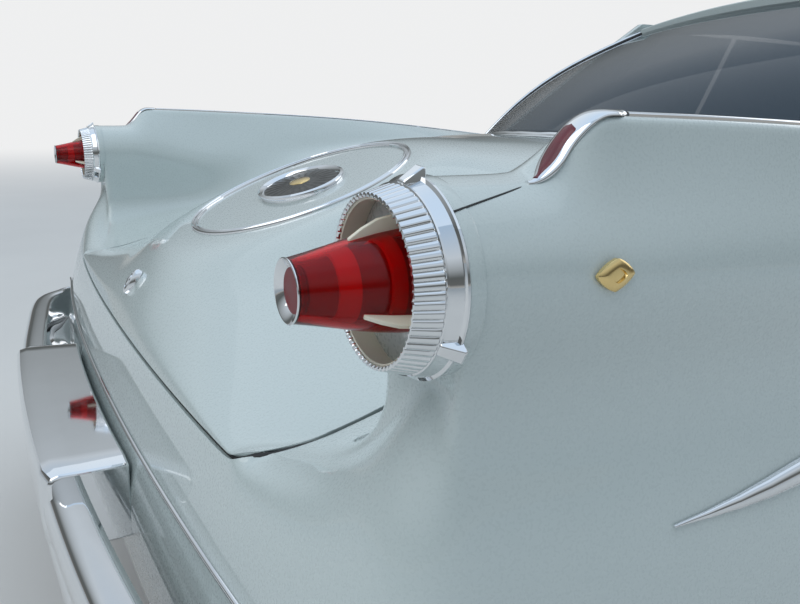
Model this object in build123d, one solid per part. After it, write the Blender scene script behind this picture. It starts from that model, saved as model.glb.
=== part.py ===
from build123d import *
import math
import os

# A full-size four-door hardtop car of about 1960, with tail fins and ringed bullet tail lamps.
# Millimetres. +Z is up, the nose points to -Y, the car's left side is +X.
# The origin is on the ground, under the middle of the car.

# Driving sizes of the whole car
HALF_LENGTH = 2874.0
WHEELBASE = 3277.0
FRONT_AXLE_Y = -1949.0
REAR_AXLE_Y = FRONT_AXLE_Y + WHEELBASE
PANEL_GAP = 6.0
SEAT_GAP = 0.3

# Wheels and tyres
TYRE_RADIUS = 360.0
TYRE_WIDTH = 208.0
RIM_RADIUS = 196.0
FRONT_TRACK_HALF = 785.0
REAR_TRACK_HALF = 785.0
ARCH_RADIUS = 412.0
FRONT_ARCH_TOP = 758.0
REAR_ARCH_TOP = 668.0
HUB_RADIUS = 46.0
SPINDLE_RADIUS = 20.0
SPINDLE_CLEARANCE = 0.05
DRUM_RADIUS = 142.0
KINGPIN_X = 640.0
SHAFT_Z = 345.0

# Frame rails
RAIL_X = 360.0
RAIL_WIDTH = 76.0
RAIL_Z = 170.0
RAIL_END_Y = HALF_LENGTH - 214.0

# Body shell levels and walls
SILL_Z = 222.0
DOOR_BOTTOM_Z = 305.0
INNER_WALL_X = 838.0
FLOOR_Z = 296.0
FLOOR_THICKNESS = 12.0
TUNNEL_HALF_WIDTH = 165.0
TUNNEL_HEIGHT = 110.0
SEAT_RISER_Y = 824.0
SEAT_PAN_Z = 490.0
BULKHEAD_Y = 1090.0
AXLE_SHELF_Z = 590.0
TRUNK_STEP_Y = 1605.0
TRUNK_FLOOR_Z = 452.0
PARCEL_SHELF_Z = 880.0
REAR_BACK_Z = SEAT_PAN_Z + FLOOR_THICKNESS + SEAT_GAP
FIREWALL_Y = -912.0
FIREWALL_TOP_Z = 850.0
SHEET = 12.0
SKIN = 26.0
CREST_WIDTH = 26.0
ARCH_POCKET_X = 915.0
LOCK_STEP = 24.0
LOCK_STEP_X = 950.0
LEAF = 5.2
DOGLEG = 54.0
DOGLEG_SLOPE = 20.0

# Where the panels meet along the car
NOSE_Y = -2742.0
COWL_Y = -925.0
FRONT_DOOR_Y = -762.0
MID_DOOR_Y = 302.0
REAR_DOOR_Y = 1078.0
FIN_END_Y = 2600.0
DECK_FRONT_Y = 1830.0
DOOR_EDGE_SLANT = 16.0

# The glass house
ROOF_TOP_Z = 1440.0
ROOF_THICKNESS = 30.0
GLASS = 6.0
BELT_GLASS_X = 866.0
BELT_GLASS_Z = 900.0
ROOF_GLASS_X = 652.0
GLASS_TOP_Z = 1340.0

# Tail lamps: a bullet lens inside a free-standing ring
LAMP_X = 875.0
LAMP_Z = 920.0
RING_LENGTH = 46.0
RING_FRONT_R = 78.0
RING_REAR_R = 67.0
RING_WALL = 4.0
LENS_TIP_Y = 2713.0
LENS_TIP_R = 22.0
LENS_BASE_R = 41.0
RING_BAND = 18.0
RING_STEP = 1.5
FLUTES = 48
FLUTE_DEPTH = 1.6
EAR_WIDTH = 20.0
EAR_LENGTH = 14.0
EAR_HEIGHT = 9.0
VANE = 4.0
VANE_END_Y = 2668.0

# Deck ornament
DECK_RING_Y = 2353.0
DECK_RING_Z = 904.0
DECK_RING_R = 215.0
DECK_RING_TILT = 20.5
DECK_RING_PLACE = Pos(0, DECK_RING_Y, DECK_RING_Z) * Rot(-DECK_RING_TILT, 0, 0)
DECK_RING_BAR = 7.0
PAD_RIM = 11.0
PAD_HEIGHT = 24.0

# Head lamps
LAMP_PLACES = (600.0, 768.0)
HEADLAMP_Z = 690.0
HEADLAMP_R = 78.0

# Steering wheel
WHEEL_PLACE = Pos(380, -470, 800) * Rot(-62, 0, 0)
SHAFT_R = 10.0
COLUMN_R = 24.0

# Holes for the rear number plate
PLATE_Z = 600.0
PLATE_SPACING = 178.0
PLATE_HOLE_R = 3.5

# Body side sections of the left half, from the nose to the tail.
# Columns: y, sill x, bulge x, bulge z, waist x, waist z, shoulder x, shoulder z, crest x, crest z
SIDE = (
    (NOSE_Y, 880, 930, 470, 912, 650, 918, 770, 885, 880),
    (-2450, 925, 985, 480, 955, 690, 957, 810, 908, 905),
    (-1949, 940, 1005, 490, 968, 700, 968, 820, 920, 925),
    (-1300, 945, 1015, 500, 975, 710, 970, 825, 928, 928),
    (FRONT_DOOR_Y, 945, 1020, 500, 978, 710, 970, 822, 930, 918),
    (MID_DOOR_Y, 945, 1022, 500, 980, 710, 972, 825, 936, 925),
    (REAR_DOOR_Y, 945, 1020, 500, 982, 720, 975, 850, 942, 955),
    (1700, 940, 1012, 500, 978, 730, 975, 880, 938, 1012),
    (2200, 925, 995, 490, 968, 735, 966, 900, 925, 1037),
    (2450, 905, 975, 480, 956, 735, 956, 915, 917, 1043),
    (FIN_END_Y, 885, 955, 470, 943, 740, 948, 920, 903, 1043),
)

# Half widths of the hood and the boot lid, and of the opening that the lid lies in
HOOD_HALF_WIDTH = 738.0
LID_HALF_WIDTH = 655.0
LID_EDGE = LID_HALF_WIDTH + PANEL_GAP

# Where the inner side of the fender falls to the hood or the deck.
# Columns: y, inner x, inner z, valley x, valley z
VALLEY = (
    (NOSE_Y, 820, 850, HOOD_HALF_WIDTH + 4, 828),
    (-2450, 835, 882, HOOD_HALF_WIDTH + 7, 868),
    (-1949, 845, 905, HOOD_HALF_WIDTH + 10, 893),
    (-1300, 850, 915, HOOD_HALF_WIDTH + 12, 905),
    (FRONT_DOOR_Y, 855, 915, HOOD_HALF_WIDTH + 14, 908),
    (REAR_DOOR_Y, 846, 950, LID_EDGE, 960),
    (1450, 846, 962, LID_EDGE, 955),
    (DECK_FRONT_Y, 832, 942, LID_EDGE, 938),
    (2080, 818, 914, LID_EDGE, 862),
    (DECK_RING_Y, 806, 892, LID_EDGE, 779),
    (2560, 798, 890, LID_EDGE, 724),
    (FIN_END_Y, 798, 890, LID_EDGE, 714),
)

# The tail below the lamps, seen from above at each height.
# Columns: z, corner y beside the lamp, rear y at the middle
TAIL = (
    (300, 2700, 2742),
    (500, 2722, 2762),
    (690, 2668, 2712),
    (840, 2612, 2650),
)
TAIL_FRONT_Y = 2420.0
TAIL_CORNER = 90.0
TAIL_WALL = 34.0
TAIL_JOIN_Z = 690.0
LID_BOTTOM_Z = 688.0

# Heights of the deck over the boot, at distances from the middle.
# Columns: x, then z at each y of DECK_Y
DECK_Y = (1084.0, 1450.0, DECK_FRONT_Y, 2080.0, DECK_RING_Y, 2560.0, 2650.0)
DECK = (
    (0, 1002, 1004, 996, 981, 904, 828, 768),
    (250, 998, 999, 991, 966, 884, 810, 755),
    (450, 988, 986, 977, 930, 826, 765, 728),
    (LID_HALF_WIDTH, 960, 955, 938, 862, 779, 724, 704),
)
LID_REAR_Y = (2712.0, 2710.0, 2700.0, 2682.0)

# Hood sections. Columns: y, z at the middle, z at the side
HOOD = (
    (-2652, 832, 800),
    (-2560, 880, 842),
    (-2200, 926, 884),
    (-1500, 956, 903),
    (COWL_Y - PANEL_GAP, 972, 908),
)

# Roof sections. Columns: y, edge x, edge z, top z
ROOF = (
    (-560, 602, 1350, 1388),
    (-100, 636, 1372, 1432),
    (380, 640, 1374, ROOF_TOP_Z),
    (880, 586, 1332, 1384),
)


def smooth(table, y):
    """One row of a table at y, by a cubic curve through its rows."""
    rows = [list(map(float, row)) for row in table]
    if y <= rows[0][0]:
        return rows[0]
    if y >= rows[-1][0]:
        return rows[-1]
    i = max(k for k in range(len(rows) - 1) if rows[k][0] <= y)
    a, b = rows[i], rows[i + 1]
    before = rows[i - 1] if i > 0 else a
    after = rows[i + 2] if i + 2 < len(rows) else b
    step = b[0] - a[0]
    t = (y - a[0]) / step
    out = [y]
    for k in range(1, len(a)):
        slope_a = (b[k] - before[k]) / (b[0] - before[0]) * step
        slope_b = (after[k] - a[k]) / (after[0] - a[0]) * step
        out.append(
            (2 * t**3 - 3 * t**2 + 1) * a[k]
            + (t**3 - 2 * t**2 + t) * slope_a
            + (3 * t**2 - 2 * t**3) * b[k]
            + (t**3 - t**2) * slope_b
        )
    return out


def block(x0, x1, y0, y1, z0, z1):
    """A box between two corners."""
    centre = ((x0 + x1) / 2, (y0 + y1) / 2, (z0 + z1) / 2)
    return Pos(*centre) * Box(x1 - x0, y1 - y0, z1 - z0)


def outline(*steps):
    """A closed wire. Each step is a point for a line, or a pair (through, end) for an arc."""
    start = steps[0]
    here = start
    edges = []
    for step in steps[1:]:
        if len(step) == 2:
            edges.append(Edge.make_three_point_arc(here, step[0], step[1]))
            here = step[1]
        else:
            edges.append(Edge.make_line(here, step))
            here = step
    if (Vector(*here) - Vector(*start)).length > 0.001:
        edges.append(Edge.make_line(here, start))
    return Wire(edges)


def both_sides(shape):
    """The shape and its mirror image on the other side of the car."""
    return [shape, mirror(shape, about=Plane.YZ)]


def x_cylinder(radius, x0, x1, y, z):
    """A cylinder along X between two planes."""
    length = x1 - x0
    return Pos((x0 + x1) / 2, y, z) * Rot(0, 90, 0) * Cylinder(radius, length)


def y_cone(front_r, rear_r, y0, y1, x, z):
    """A cone along Y, from its front radius to its rear radius."""
    solid = Cone(front_r, rear_r, y1 - y0) if front_r != rear_r else Cylinder(front_r, y1 - y0)
    return Pos(x, (y0 + y1) / 2, z) * Rot(-90, 0, 0) * solid


def write(name, *shapes):
    """Writes one node, made of one or more solids."""
    solids = []
    for shape in shapes:
        solids.extend(shape.solids())
    node = solids[0] if len(solids) == 1 else Compound(children=solids)
    node.label = name
    export_step(node, os.path.join("parts", name + ".step"))


def side_points(y):
    """The outer points of the body side at y, from the sill to the crest."""
    _, sill, bx, bz, wx, wz, sx, sz, cx, cz = smooth(SIDE, y)
    return [(x, y, z) for x, z in ((sill, SILL_Z), (bx, bz), (wx, wz), (sx, sz), (cx, cz))]


def fender_section(y):
    """A closed section of a fender: side, crest, fall to the valley and inner wall."""
    sill, bulge, waist, shoulder, crest = side_points(y)
    _, ix, iz, vx, vz = smooth(VALLEY, y)
    wall = INNER_WALL_X + 24
    return outline(
        sill,
        (bulge, waist),
        (shoulder, crest),
        (crest[0] - CREST_WIDTH, y, crest[2]),
        (ix, y, iz),
        (vx, y, vz),
        (vx, y, vz - SKIN),
        (wall, y, vz - SKIN - 60),
        (wall, y, SILL_Z),
    )


def door_section(y):
    """A closed section of a door, as thick as the whole door."""
    sill, bulge, waist, shoulder, crest = side_points(y)
    return outline(
        sill,
        (bulge, waist),
        (shoulder, crest),
        (INNER_WALL_X, y, crest[2]),
        (INNER_WALL_X, y, SILL_Z),
    )


def side_loft(section, stations):
    """A smooth solid through sections at these stations."""
    return Solid.make_loft([section(y) for y in stations])


def joined(*shapes):
    """One solid fused from several shapes."""
    body = shapes[0]
    for shape in shapes[1:]:
        body += shape
    return body


def wheel_pocket(y, top):
    """The space of a wheel: the opening in the skin, level at the top, and the room behind it."""
    opening = x_cylinder(ARCH_RADIUS, 700, 1100, y, TYRE_RADIUS)
    opening -= block(650, 1150, y - 500, y + 500, top, 1200)
    opening += block(700, 1100, y - ARCH_RADIUS, y + ARCH_RADIUS, 0, TYRE_RADIUS)
    return opening + x_cylinder(ARCH_RADIUS, 700, ARCH_POCKET_X, y, TYRE_RADIUS)


def slanted_slab(y0, y1, z0, z1):
    """A slab across the left side between two door edges, its ends slanted for the swing."""
    lean = math.tan(math.radians(DOOR_EDGE_SLANT))
    outer, inner = 1100.0, 600.0
    shift = (outer - inner) * lean
    corners = [(outer, y0), (outer, y1), (inner, y1 - shift), (inner, y0 - shift)]
    face = Face(Wire.make_polygon([(x, y, z0) for x, y in corners]))
    return Solid.extrude(face, Vector(0, 0, z1 - z0))


def edge_y(y):
    """Where a slanted door edge starts beside the car, so that it meets the skin at y."""
    return y + (1100.0 - 1000.0) * math.tan(math.radians(DOOR_EDGE_SLANT))


def dogleg_cone(gap):
    """The cone round the rear wheel opening that shapes the rear door's lower corner."""
    outer = ARCH_RADIUS + DOGLEG + gap
    spread = math.tan(math.radians(DOGLEG_SLOPE))
    cone = Cone(outer + 400 * spread, outer - 100 * spread, 500)
    return Pos(850, REAR_AXLE_Y, TYRE_RADIUS) * Rot(0, 90, 0) * cone


def front_fender():
    """The left front fender, from the nose to the front door."""
    stations = (NOSE_Y, -2450, -1949, -1300, FRONT_DOOR_Y - PANEL_GAP)
    return side_loft(fender_section, stations) - wheel_pocket(FRONT_AXLE_Y, FRONT_ARCH_TOP)


def front_door():
    """The left front door: square at its hinged edge and slanted at its lock edge."""
    body = side_loft(door_section, (FRONT_DOOR_Y, (FRONT_DOOR_Y + MID_DOOR_Y) / 2, MID_DOOR_Y + 60))
    lock = edge_y(MID_DOOR_Y - PANEL_GAP)
    keep = slanted_slab(FRONT_DOOR_Y - 200, lock, DOOR_BOTTOM_Z, 1200)
    step = slanted_slab(lock - LOCK_STEP, lock + 20, 200, 1300) & block(600, LOCK_STEP_X, 0, 500, 200, 1300)
    return (body & keep) - step


def rear_door():
    """The left rear door, slanted at both edges and cut round the wheel opening."""
    stations = (MID_DOOR_Y - 60, (MID_DOOR_Y + REAR_DOOR_Y) / 2, REAR_DOOR_Y + 20)
    body = side_loft(door_section, stations)
    keep = slanted_slab(edge_y(MID_DOOR_Y), edge_y(REAR_DOOR_Y), DOOR_BOTTOM_Z, 1200)
    return (body & keep) - dogleg_cone(PANEL_GAP)


def quarter():
    """The left rear quarter with its fin and lamp pod."""
    body = side_loft(fender_section, (840, REAR_DOOR_Y, 1450, DECK_FRONT_Y, 2200, 2450, FIN_END_Y))
    doorway = slanted_slab(0, edge_y(REAR_DOOR_Y) + PANEL_GAP, DOOR_BOTTOM_Z - PANEL_GAP, 1300)
    body -= doorway - dogleg_cone(0)
    body -= block(500, ARCH_POCKET_X, 700, BULKHEAD_Y - SEAT_GAP, 0, 1300) - dogleg_lip()
    body -= wheel_pocket(REAR_AXLE_Y, REAR_ARCH_TOP)
    step = [(2458, 1100), (2462, 1036), (2512, 992), (2660, 992), (2660, 1100)]
    face = Face(Wire.make_polygon([(700, y, z) for y, z in step]))
    body -= Solid.extrude(face, Vector(400, 0, 0))
    body -= block(500, 1100, TAIL_FRONT_Y - SEAT_GAP, 2700, 0, TAIL_JOIN_Z)
    pod = y_cone(40, RING_FRONT_R, 2150, 2400, LAMP_X - 6, LAMP_Z - 6)
    pod += y_cone(RING_FRONT_R, RING_FRONT_R, 2400, FIN_END_Y, LAMP_X, LAMP_Z)
    return body + pod


def dogleg_lip():
    """The room kept for the quarter's lip in front of the rear wheel."""
    return block(INNER_WALL_X + 30, 1100, 700, REAR_DOOR_Y, 0, REAR_ARCH_TOP + 60)


def side_x_at(y, z):
    """The half width of the body at y and a height between the sill and the waist."""
    (x0, _, z0), (x1, _, z1), (x2, _, z2), _, _ = side_points(y)
    if z <= z1:
        return x0 + (x1 - x0) * (z - z0) / (z1 - z0)
    return x1 + (x2 - x1) * ((z - z1) / (z2 - z1)) ** 1.5 if z < z2 else x2


def tail_hull(cut):
    """The closed shape of the tail, shrunk by cut."""
    rows = []
    for z, corner_y, rear_y in TAIL:
        x = side_x_at(TAIL_FRONT_Y, z) - cut
        y = corner_y - cut
        turn = TAIL_CORNER
        mid = turn * (1 - math.sqrt(0.5))
        rows.append(
            outline(
                (-x, TAIL_FRONT_Y, z),
                (-x, y - turn, z),
                ((-x + mid, y - mid, z), (-x + turn, y, z)),
                ((0, rear_y - cut, z), (x - turn, y, z)),
                ((x - mid, y - mid, z), (x, y - turn, z)),
                (x, TAIL_FRONT_Y, z),
            )
        )
    return Solid.make_loft(rows)


def tail():
    """The rear panel and both rear corners, a wall bent round the tail."""
    wall = tail_hull(0) - tail_hull(TAIL_WALL)
    wall -= block(-LID_EDGE, LID_EDGE, 2300, 2900, LID_BOTTOM_Z - PANEL_GAP, 1200)
    wall -= block(-1200, 1200, 2300, FIN_END_Y + SEAT_GAP, TAIL_JOIN_Z - SEAT_GAP, 1200)
    for side in (1, -1):
        wall -= block(side * 400 - 46, side * 400 + 46, 2300, 2900, 290, 408)
        wall -= y_cone(PLATE_HOLE_R, PLATE_HOLE_R, 2600, 2900, side * PLATE_SPACING / 2, PLATE_Z)
    return wall


def deck_section(x, first, last, rear, skin, lift):
    """A closed section along the car of the deck at x, between two columns of DECK_Y."""
    row = [heights for place, *heights in DECK if place == abs(x)][0]
    top = [(x, DECK_Y[k], row[k] + lift) for k in range(first, last + 1)]
    low = [(x, y, z - skin) for _, y, z in top]
    if rear is None:
        return outline(top[0], (top[1], top[2]), low[2], (low[1], low[0]))
    fold = [(x, rear, LID_BOTTOM_Z), (x, rear - SKIN, LID_BOTTOM_Z)]
    inner = (x, top[4][1] - SKIN / 2, top[4][2] - SKIN)
    return outline(
        top[0], (top[1], top[2]), (top[3], top[4]), *fold, inner, (low[3], low[2]), (low[1], low[0])
    )


def across(first, last, rears, skin=SKIN, lift=0.0):
    """A deck panel as a loft from side to side."""
    places = [(-row[0], rear) for row, rear in zip(DECK[:0:-1], rears[:0:-1])]
    places += [(row[0], rear) for row, rear in zip(DECK, rears)]
    return Solid.make_loft([deck_section(x, first, last, rear, skin, lift) for x, rear in places])


def deck_lid():
    """The deck lid with its raised round."""
    pad_r = DECK_RING_R + PAD_RIM
    above = DECK_RING_PLACE * Pos(0, 0, PAD_HEIGHT / 2) * Cylinder(pad_r, 2 * PAD_HEIGHT)
    pad = DECK_RING_PLACE * Pos(0, 0, -PAD_HEIGHT / 2) * Cylinder(pad_r, PAD_HEIGHT)
    return across(2, 6, LID_REAR_Y) - above + pad


def deck_panel():
    """The fixed panel between the rear window and the deck lid, with the lid's hinge leaves."""
    panel = across(0, 2, (None,) * 4)
    panel -= block(-800, 800, DECK_FRONT_Y - PANEL_GAP, 1900, 800, 1100)
    panel -= plan_prism(((-700, 900), (-690, 1405), (0, 1640), (690, 1405), (700, 900)), 800, 1100)
    leaf = block(440, 480, DECK_FRONT_Y - PANEL_GAP - 4, DECK_FRONT_Y - SEAT_GAP, 954, 964)
    for piece in both_sides(leaf):
        panel += piece
    return panel


def plan_prism(plan, z0, z1):
    """An upright prism whose plan has straight sides and one arc through its middle point."""
    a, b, c, d, e = [(x, y, z0) for x, y in plan]
    return Solid.extrude(Face(outline(a, b, (c, d), e)), Vector(0, 0, z1 - z0))


def deck_ring():
    """The ring round the raised part of the lid, and its plain medallion."""
    ring = DECK_RING_PLACE * Pos(0, 0, DECK_RING_BAR + SEAT_GAP) * Torus(DECK_RING_R, DECK_RING_BAR)
    plate = DECK_RING_PLACE * Pos(0, 0, SEAT_GAP) * extrude(Ellipse(115, 82), 12)
    return ring, plate


def crown(y0, y1, half, side_z, middle_z, thickness):
    """A slab curved across the car, straight along it."""
    rows = []
    for y in (y0, y1):
        rows.append(
            outline(
                (-half, y, side_z),
                ((0, y, middle_z), (half, y, side_z)),
                (half, y, side_z - thickness),
                ((0, y, middle_z - thickness), (-half, y, side_z - thickness)),
            )
        )
    return Solid.make_loft(rows, ruled=True)


def hood():
    """The hood, a crowned sheet with folded edges."""
    rows = []
    for y, middle, side in HOOD:
        w = HOOD_HALF_WIDTH
        rows.append(
            outline(
                (-w, y, side),
                ((0, y, middle), (w, y, side)),
                (w, y, side - SKIN),
                ((0, y, middle - SKIN), (-w, y, side - SKIN)),
            )
        )
    return Solid.make_loft(rows)


def cowl():
    """The fixed panel between the hood and the windscreen."""
    panel = crown(COWL_Y, -640, HOOD_HALF_WIDTH + PANEL_GAP, 908, 974, SKIN)
    panel -= plan_prism(((-760, -500), (-745, -672), (0, -872), (745, -672), (760, -500)), 800, 1100)
    for piece in both_sides(block(430, 510, COWL_Y - PANEL_GAP + SEAT_GAP, COWL_Y + 4, 924, 940)):
        panel += piece
    return panel


def roof_skin(up, down):
    """The roof as a crowned sheet, grown up and down."""
    rows = []
    for y, x, edge, top in ROOF:
        low = ROOF_THICKNESS + down
        rows.append(
            outline(
                (-x, y, edge + up),
                ((0, y, top + up), (x, y, edge + up)),
                (x - 20, y, edge - low),
                ((0, y, top - low), (-x + 20, y, edge - low)),
            )
        )
    return Solid.make_loft(rows)


def roof():
    """The roof skin and the four posts that carry it."""
    body = roof_skin(0, 0)
    rear = rear_post(0)
    rear -= Pos(0, 0, SEAT_GAP) * side_loft(fender_section, (REAR_DOOR_Y, 1450, DECK_FRONT_Y))
    for piece in both_sides(front_post(0)) + both_sides(rear):
        body += piece
    return body


def front_post(grow):
    """The left post beside the windscreen."""
    return pillar((768, -655, 898), (616, -470, 1356), 60 + grow, 38 + grow, 50 + grow)


def rear_post(grow):
    """The left post beside the rear window."""
    return pillar((776, 1290, 935), (596, 790, 1345), 150 + grow, 34 + grow, 110 + grow)


def bent_glass(rows):
    """A bent sheet of glass. Columns: z, side x, side y, middle y."""
    wires = []
    for z, x, side_y, middle_y in rows:
        inner = GLASS if middle_y < side_y else -GLASS
        wires.append(
            outline(
                (-x, side_y, z),
                ((0, middle_y, z), (x, side_y, z)),
                (x - 4, side_y + inner, z),
                ((0, middle_y + inner, z), (-x + 4, side_y + inner, z)),
            )
        )
    return Solid.make_loft(wires)


def around_glass(post):
    """What a window is cut to clear: the roof with the space over it, and both posts beside it."""
    above = 150.0
    return [roof_skin(above, SEAT_GAP), roof_skin(SEAT_GAP, SEAT_GAP), *both_sides(post(2 * SEAT_GAP))]


def windscreen():
    """The windscreen, seated on the cowl."""
    glass = bent_glass(((890, 748, -722, -925), (1170, 672, -590, -720), (1372, 590, -490, -524)))
    glass -= crown(-1000, -500, 900, 890, 974 + SEAT_GAP, 200)
    for piece in around_glass(front_post):
        glass -= piece
    return glass.solids().sort_by(SortBy.VOLUME)[-1]


def rear_glass():
    """The rear window, seated on the deck."""
    glass = bent_glass(((930, 700, 1465, 1775), (1200, 640, 1130, 1350), (1372, 560, 745, 840)))
    glass -= across(0, 2, (None,) * 4, 200, SEAT_GAP)
    glass -= block(-900, 900, 1000, 1900, 800, 963)
    for piece in around_glass(rear_post):
        glass -= piece
    return glass.solids().sort_by(SortBy.VOLUME)[-1]


def pillar(bottom, top, width, depth, width_top):
    """A post between two points, as a loft of two rectangles."""
    wires = []
    for (x, y, z), w in ((bottom, width), (top, width_top)):
        corners = [(-1, -1), (1, -1), (1, 1), (-1, 1)]
        wires.append(Wire.make_polygon([(x + a * depth / 2, y + b * w / 2, z) for a, b in corners]))
    return Solid.make_loft(wires, ruled=True)


def door_glass(front_low, front_high, rear_low, rear_high):
    """A leaning side window, as a ruled sheet from the belt to the roof rail."""
    wires = []
    for z, x, y0, y1 in (
        (BELT_GLASS_Z, BELT_GLASS_X, front_low, rear_low),
        (GLASS_TOP_Z, ROOF_GLASS_X, front_high, rear_high),
    ):
        wires.append(Wire.make_polygon([(x, y0, z), (x + GLASS, y0, z), (x + GLASS, y1, z), (x, y1, z)]))
    glass = Solid.make_loft(wires, ruled=True)
    stations = (front_low - 30, (front_low + rear_low) / 2, rear_low + 30)
    return glass - Pos(0, 0, SEAT_GAP) * side_loft(door_section, stations)


def tyre(side, y, track):
    """A tyre on the side of the car given by side, 1 for left."""
    half = TYRE_WIDTH / 2
    middle = (RIM_RADIUS + TYRE_RADIUS) / 2
    shoulder = TYRE_RADIUS - 8
    profile = outline(
        (-half + 22, 0, RIM_RADIUS),
        (half - 22, 0, RIM_RADIUS),
        ((half, 0, middle), (half - 26, 0, shoulder)),
        ((0, 0, TYRE_RADIUS), (-half + 26, 0, shoulder)),
        ((-half, 0, middle), (-half + 22, 0, RIM_RADIUS)),
    )
    return Pos(side * track, y, TYRE_RADIUS) * Solid.revolve(Face(profile), 360, Axis.X)


def wheel(side, y, track):
    """A wheel with its drum, hub and domed cover, turned about X."""
    r = RIM_RADIUS - SEAT_GAP
    bore = SPINDLE_RADIUS + SPINDLE_CLEARANCE
    # Columns: distance outboard of the wheel's middle, radius
    profile = (
        (-88, r),
        (88, r),
        (88, r + 8),
        (94, r + 8),
        (94, r - 12),
        (80, 176),
        (62, 150),
        (78, 92),
        (96, 62),
        (104, 0),
        (14, 0),
        (14, bore),
        (-64, bore),
        (-64, HUB_RADIUS),
        (-8, HUB_RADIUS),
        (-8, DRUM_RADIUS - 10),
        (-70, DRUM_RADIUS - 10),
        (-70, DRUM_RADIUS),
        (4, DRUM_RADIUS),
        (4, 168),
        (-60, r - 8),
        (-88, r - 8),
    )
    face = Face(Wire.make_polygon([(side * a, 0, b) for a, b in profile]))
    return Pos(side * track, y, TYRE_RADIUS) * Solid.revolve(face, 360, Axis.X)


def knuckle():
    """The left front knuckle: an upright on its kingpin line, the spindle and the brake plate."""
    x, y, z = KINGPIN_X, FRONT_AXLE_Y, TYRE_RADIUS
    plate_x = FRONT_TRACK_HALF - 64 - 26
    upright = Pos(x, y, z) * Cylinder(26, 250)
    spindle = x_cylinder(SPINDLE_RADIUS, x, FRONT_TRACK_HALF + 10, y, z)
    boss = x_cylinder(38, x, plate_x + 14, y, z)
    plate = x_cylinder(DRUM_RADIUS - 16, plate_x + 6, plate_x + 12, y, z)
    return joined(upright, spindle, boss, plate)


def front_suspension():
    """The crossmember between the rails, the spring towers on them and the four arms."""
    y, z = FRONT_AXLE_Y, TYRE_RADIUS
    rail_in = RAIL_X - SEAT_GAP
    rail_out = RAIL_X + RAIL_WIDTH + SEAT_GAP
    reach = KINGPIN_X + 30
    pieces = [block(-rail_in, rail_in, y - 70, y + 70, 178, 268)]
    arm = block(rail_out, reach, y - 48, y + 48, z - 125 - SEAT_GAP - 28, z - 125 - SEAT_GAP)
    tower = block(RAIL_X + 10, rail_out - 6, y - 60, y + 60, FLOOR_Z, 530)
    high = z + 125 + SEAT_GAP
    tower += block(RAIL_X + 40, reach, y - 35, y + 35, high, high + 24)
    return pieces + both_sides(arm) + both_sides(tower)


def rear_axle():
    """The axle tube with its final drive, brake plates, spindles and propeller shaft."""
    y, z = REAR_AXLE_Y, TYRE_RADIUS
    inner = REAR_TRACK_HALF - 64 - 12
    body = joined(
        x_cylinder(40, -inner, inner, y, z),
        x_cylinder(SPINDLE_RADIUS, -REAR_TRACK_HALF - 10, REAR_TRACK_HALF + 10, y, z),
        Pos(0, y, z) * Sphere(112),
        y_cone(50, 62, y - 170, y, 0, SHAFT_Z),
        y_cone(36, 36, -498, y - 160, 0, SHAFT_Z),
    )
    for side in (1, -1):
        x0, x1 = sorted((side * (inner - 14), side * (inner - 8)))
        body += x_cylinder(DRUM_RADIUS - 16, x0, x1, y, z)
    return body


def frame():
    """The ladder frame: two box rails that kick up over the rear axle, and cross members."""
    top = FLOOR_Z - SEAT_GAP
    # Columns: y, bottom z, top z of a rail
    profile = (
        (-RAIL_END_Y, 258, 372),
        (-2480, 258, 372),
        (-2300, RAIL_Z, top),
        (SEAT_RISER_Y + 6, RAIL_Z, top),
        (1080, 425, 488),
        (1480, 425, 488),
        (1600, 325, 445),
        (RAIL_END_Y, 322, 432),
    )
    ring = [(RAIL_X, y, low) for y, low, _ in profile] + [(RAIL_X, y, high) for y, _, high in profile[::-1]]
    rail = Solid.extrude(Face(Wire.make_polygon(ring)), Vector(RAIL_WIDTH, 0, 0))
    body = rail + mirror(rail, about=Plane.YZ)
    for y0, y1, z0, z1 in (
        (-2600, -2530, 262, 360),
        (-900, -820, 232, 284),
        (250, 330, 232, 284),
        (1790, 1850, 330, 430),
        (2560, 2640, 326, 400),
    ):
        body += block(-RAIL_X - 10, RAIL_X + 10, y0, y1, z0, z1)
    return body


def springs():
    """Leaf springs under the rear axle, each with its pad and its two hangers on the frame."""
    y, z = REAR_AXLE_Y, TYRE_RADIUS
    x0, x1 = 500.0, 562.0
    rail_out = RAIL_X + RAIL_WIDTH + SEAT_GAP
    leaf = outline(
        (x0, y - 640, 262),
        ((x0, y, z - 78), (x0, y + 700, 362)),
        (x0, y + 700, 384),
        ((x0, y, z - 52), (x0, y - 640, 284)),
    )
    left = joined(
        Solid.extrude(Face(leaf), Vector(x1 - x0, 0, 0)),
        block(x0, x1, y - 60, y + 60, z - 66, z - 40 - SEAT_GAP),
        block(rail_out, x1, y - 660, y - 610, 240, 290),
        block(rail_out, x1, y + 670, y + 720, 350, 392),
    )
    return both_sides(left)


def engine():
    """The engine and gearbox as plain masses, with the round air cleaner."""
    return joined(
        block(-230, 230, -2180, -1500, 300, 640),
        block(-330, 330, -2140, -1540, 520, 700),
        block(-170, 170, -1500, -960, 310, 560),
        y_cone(44, 44, -980, -498 - SEAT_GAP, 0, SHAFT_Z),
        Pos(0, -1840, 742) * Cylinder(190, 90),
    )


def tube_through(points, radius):
    """A round tube through points, with a ball at each bend."""
    body = None
    for a, b in zip(points, points[1:]):
        start, end = Vector(*a), Vector(*b)
        leg = Solid.make_cylinder(radius, (end - start).length, Plane(start, z_dir=end - start))
        body = leg if body is None else body + leg
        if b is not points[-1]:
            body += Pos(*b) * Sphere(radius)
    return body


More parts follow.
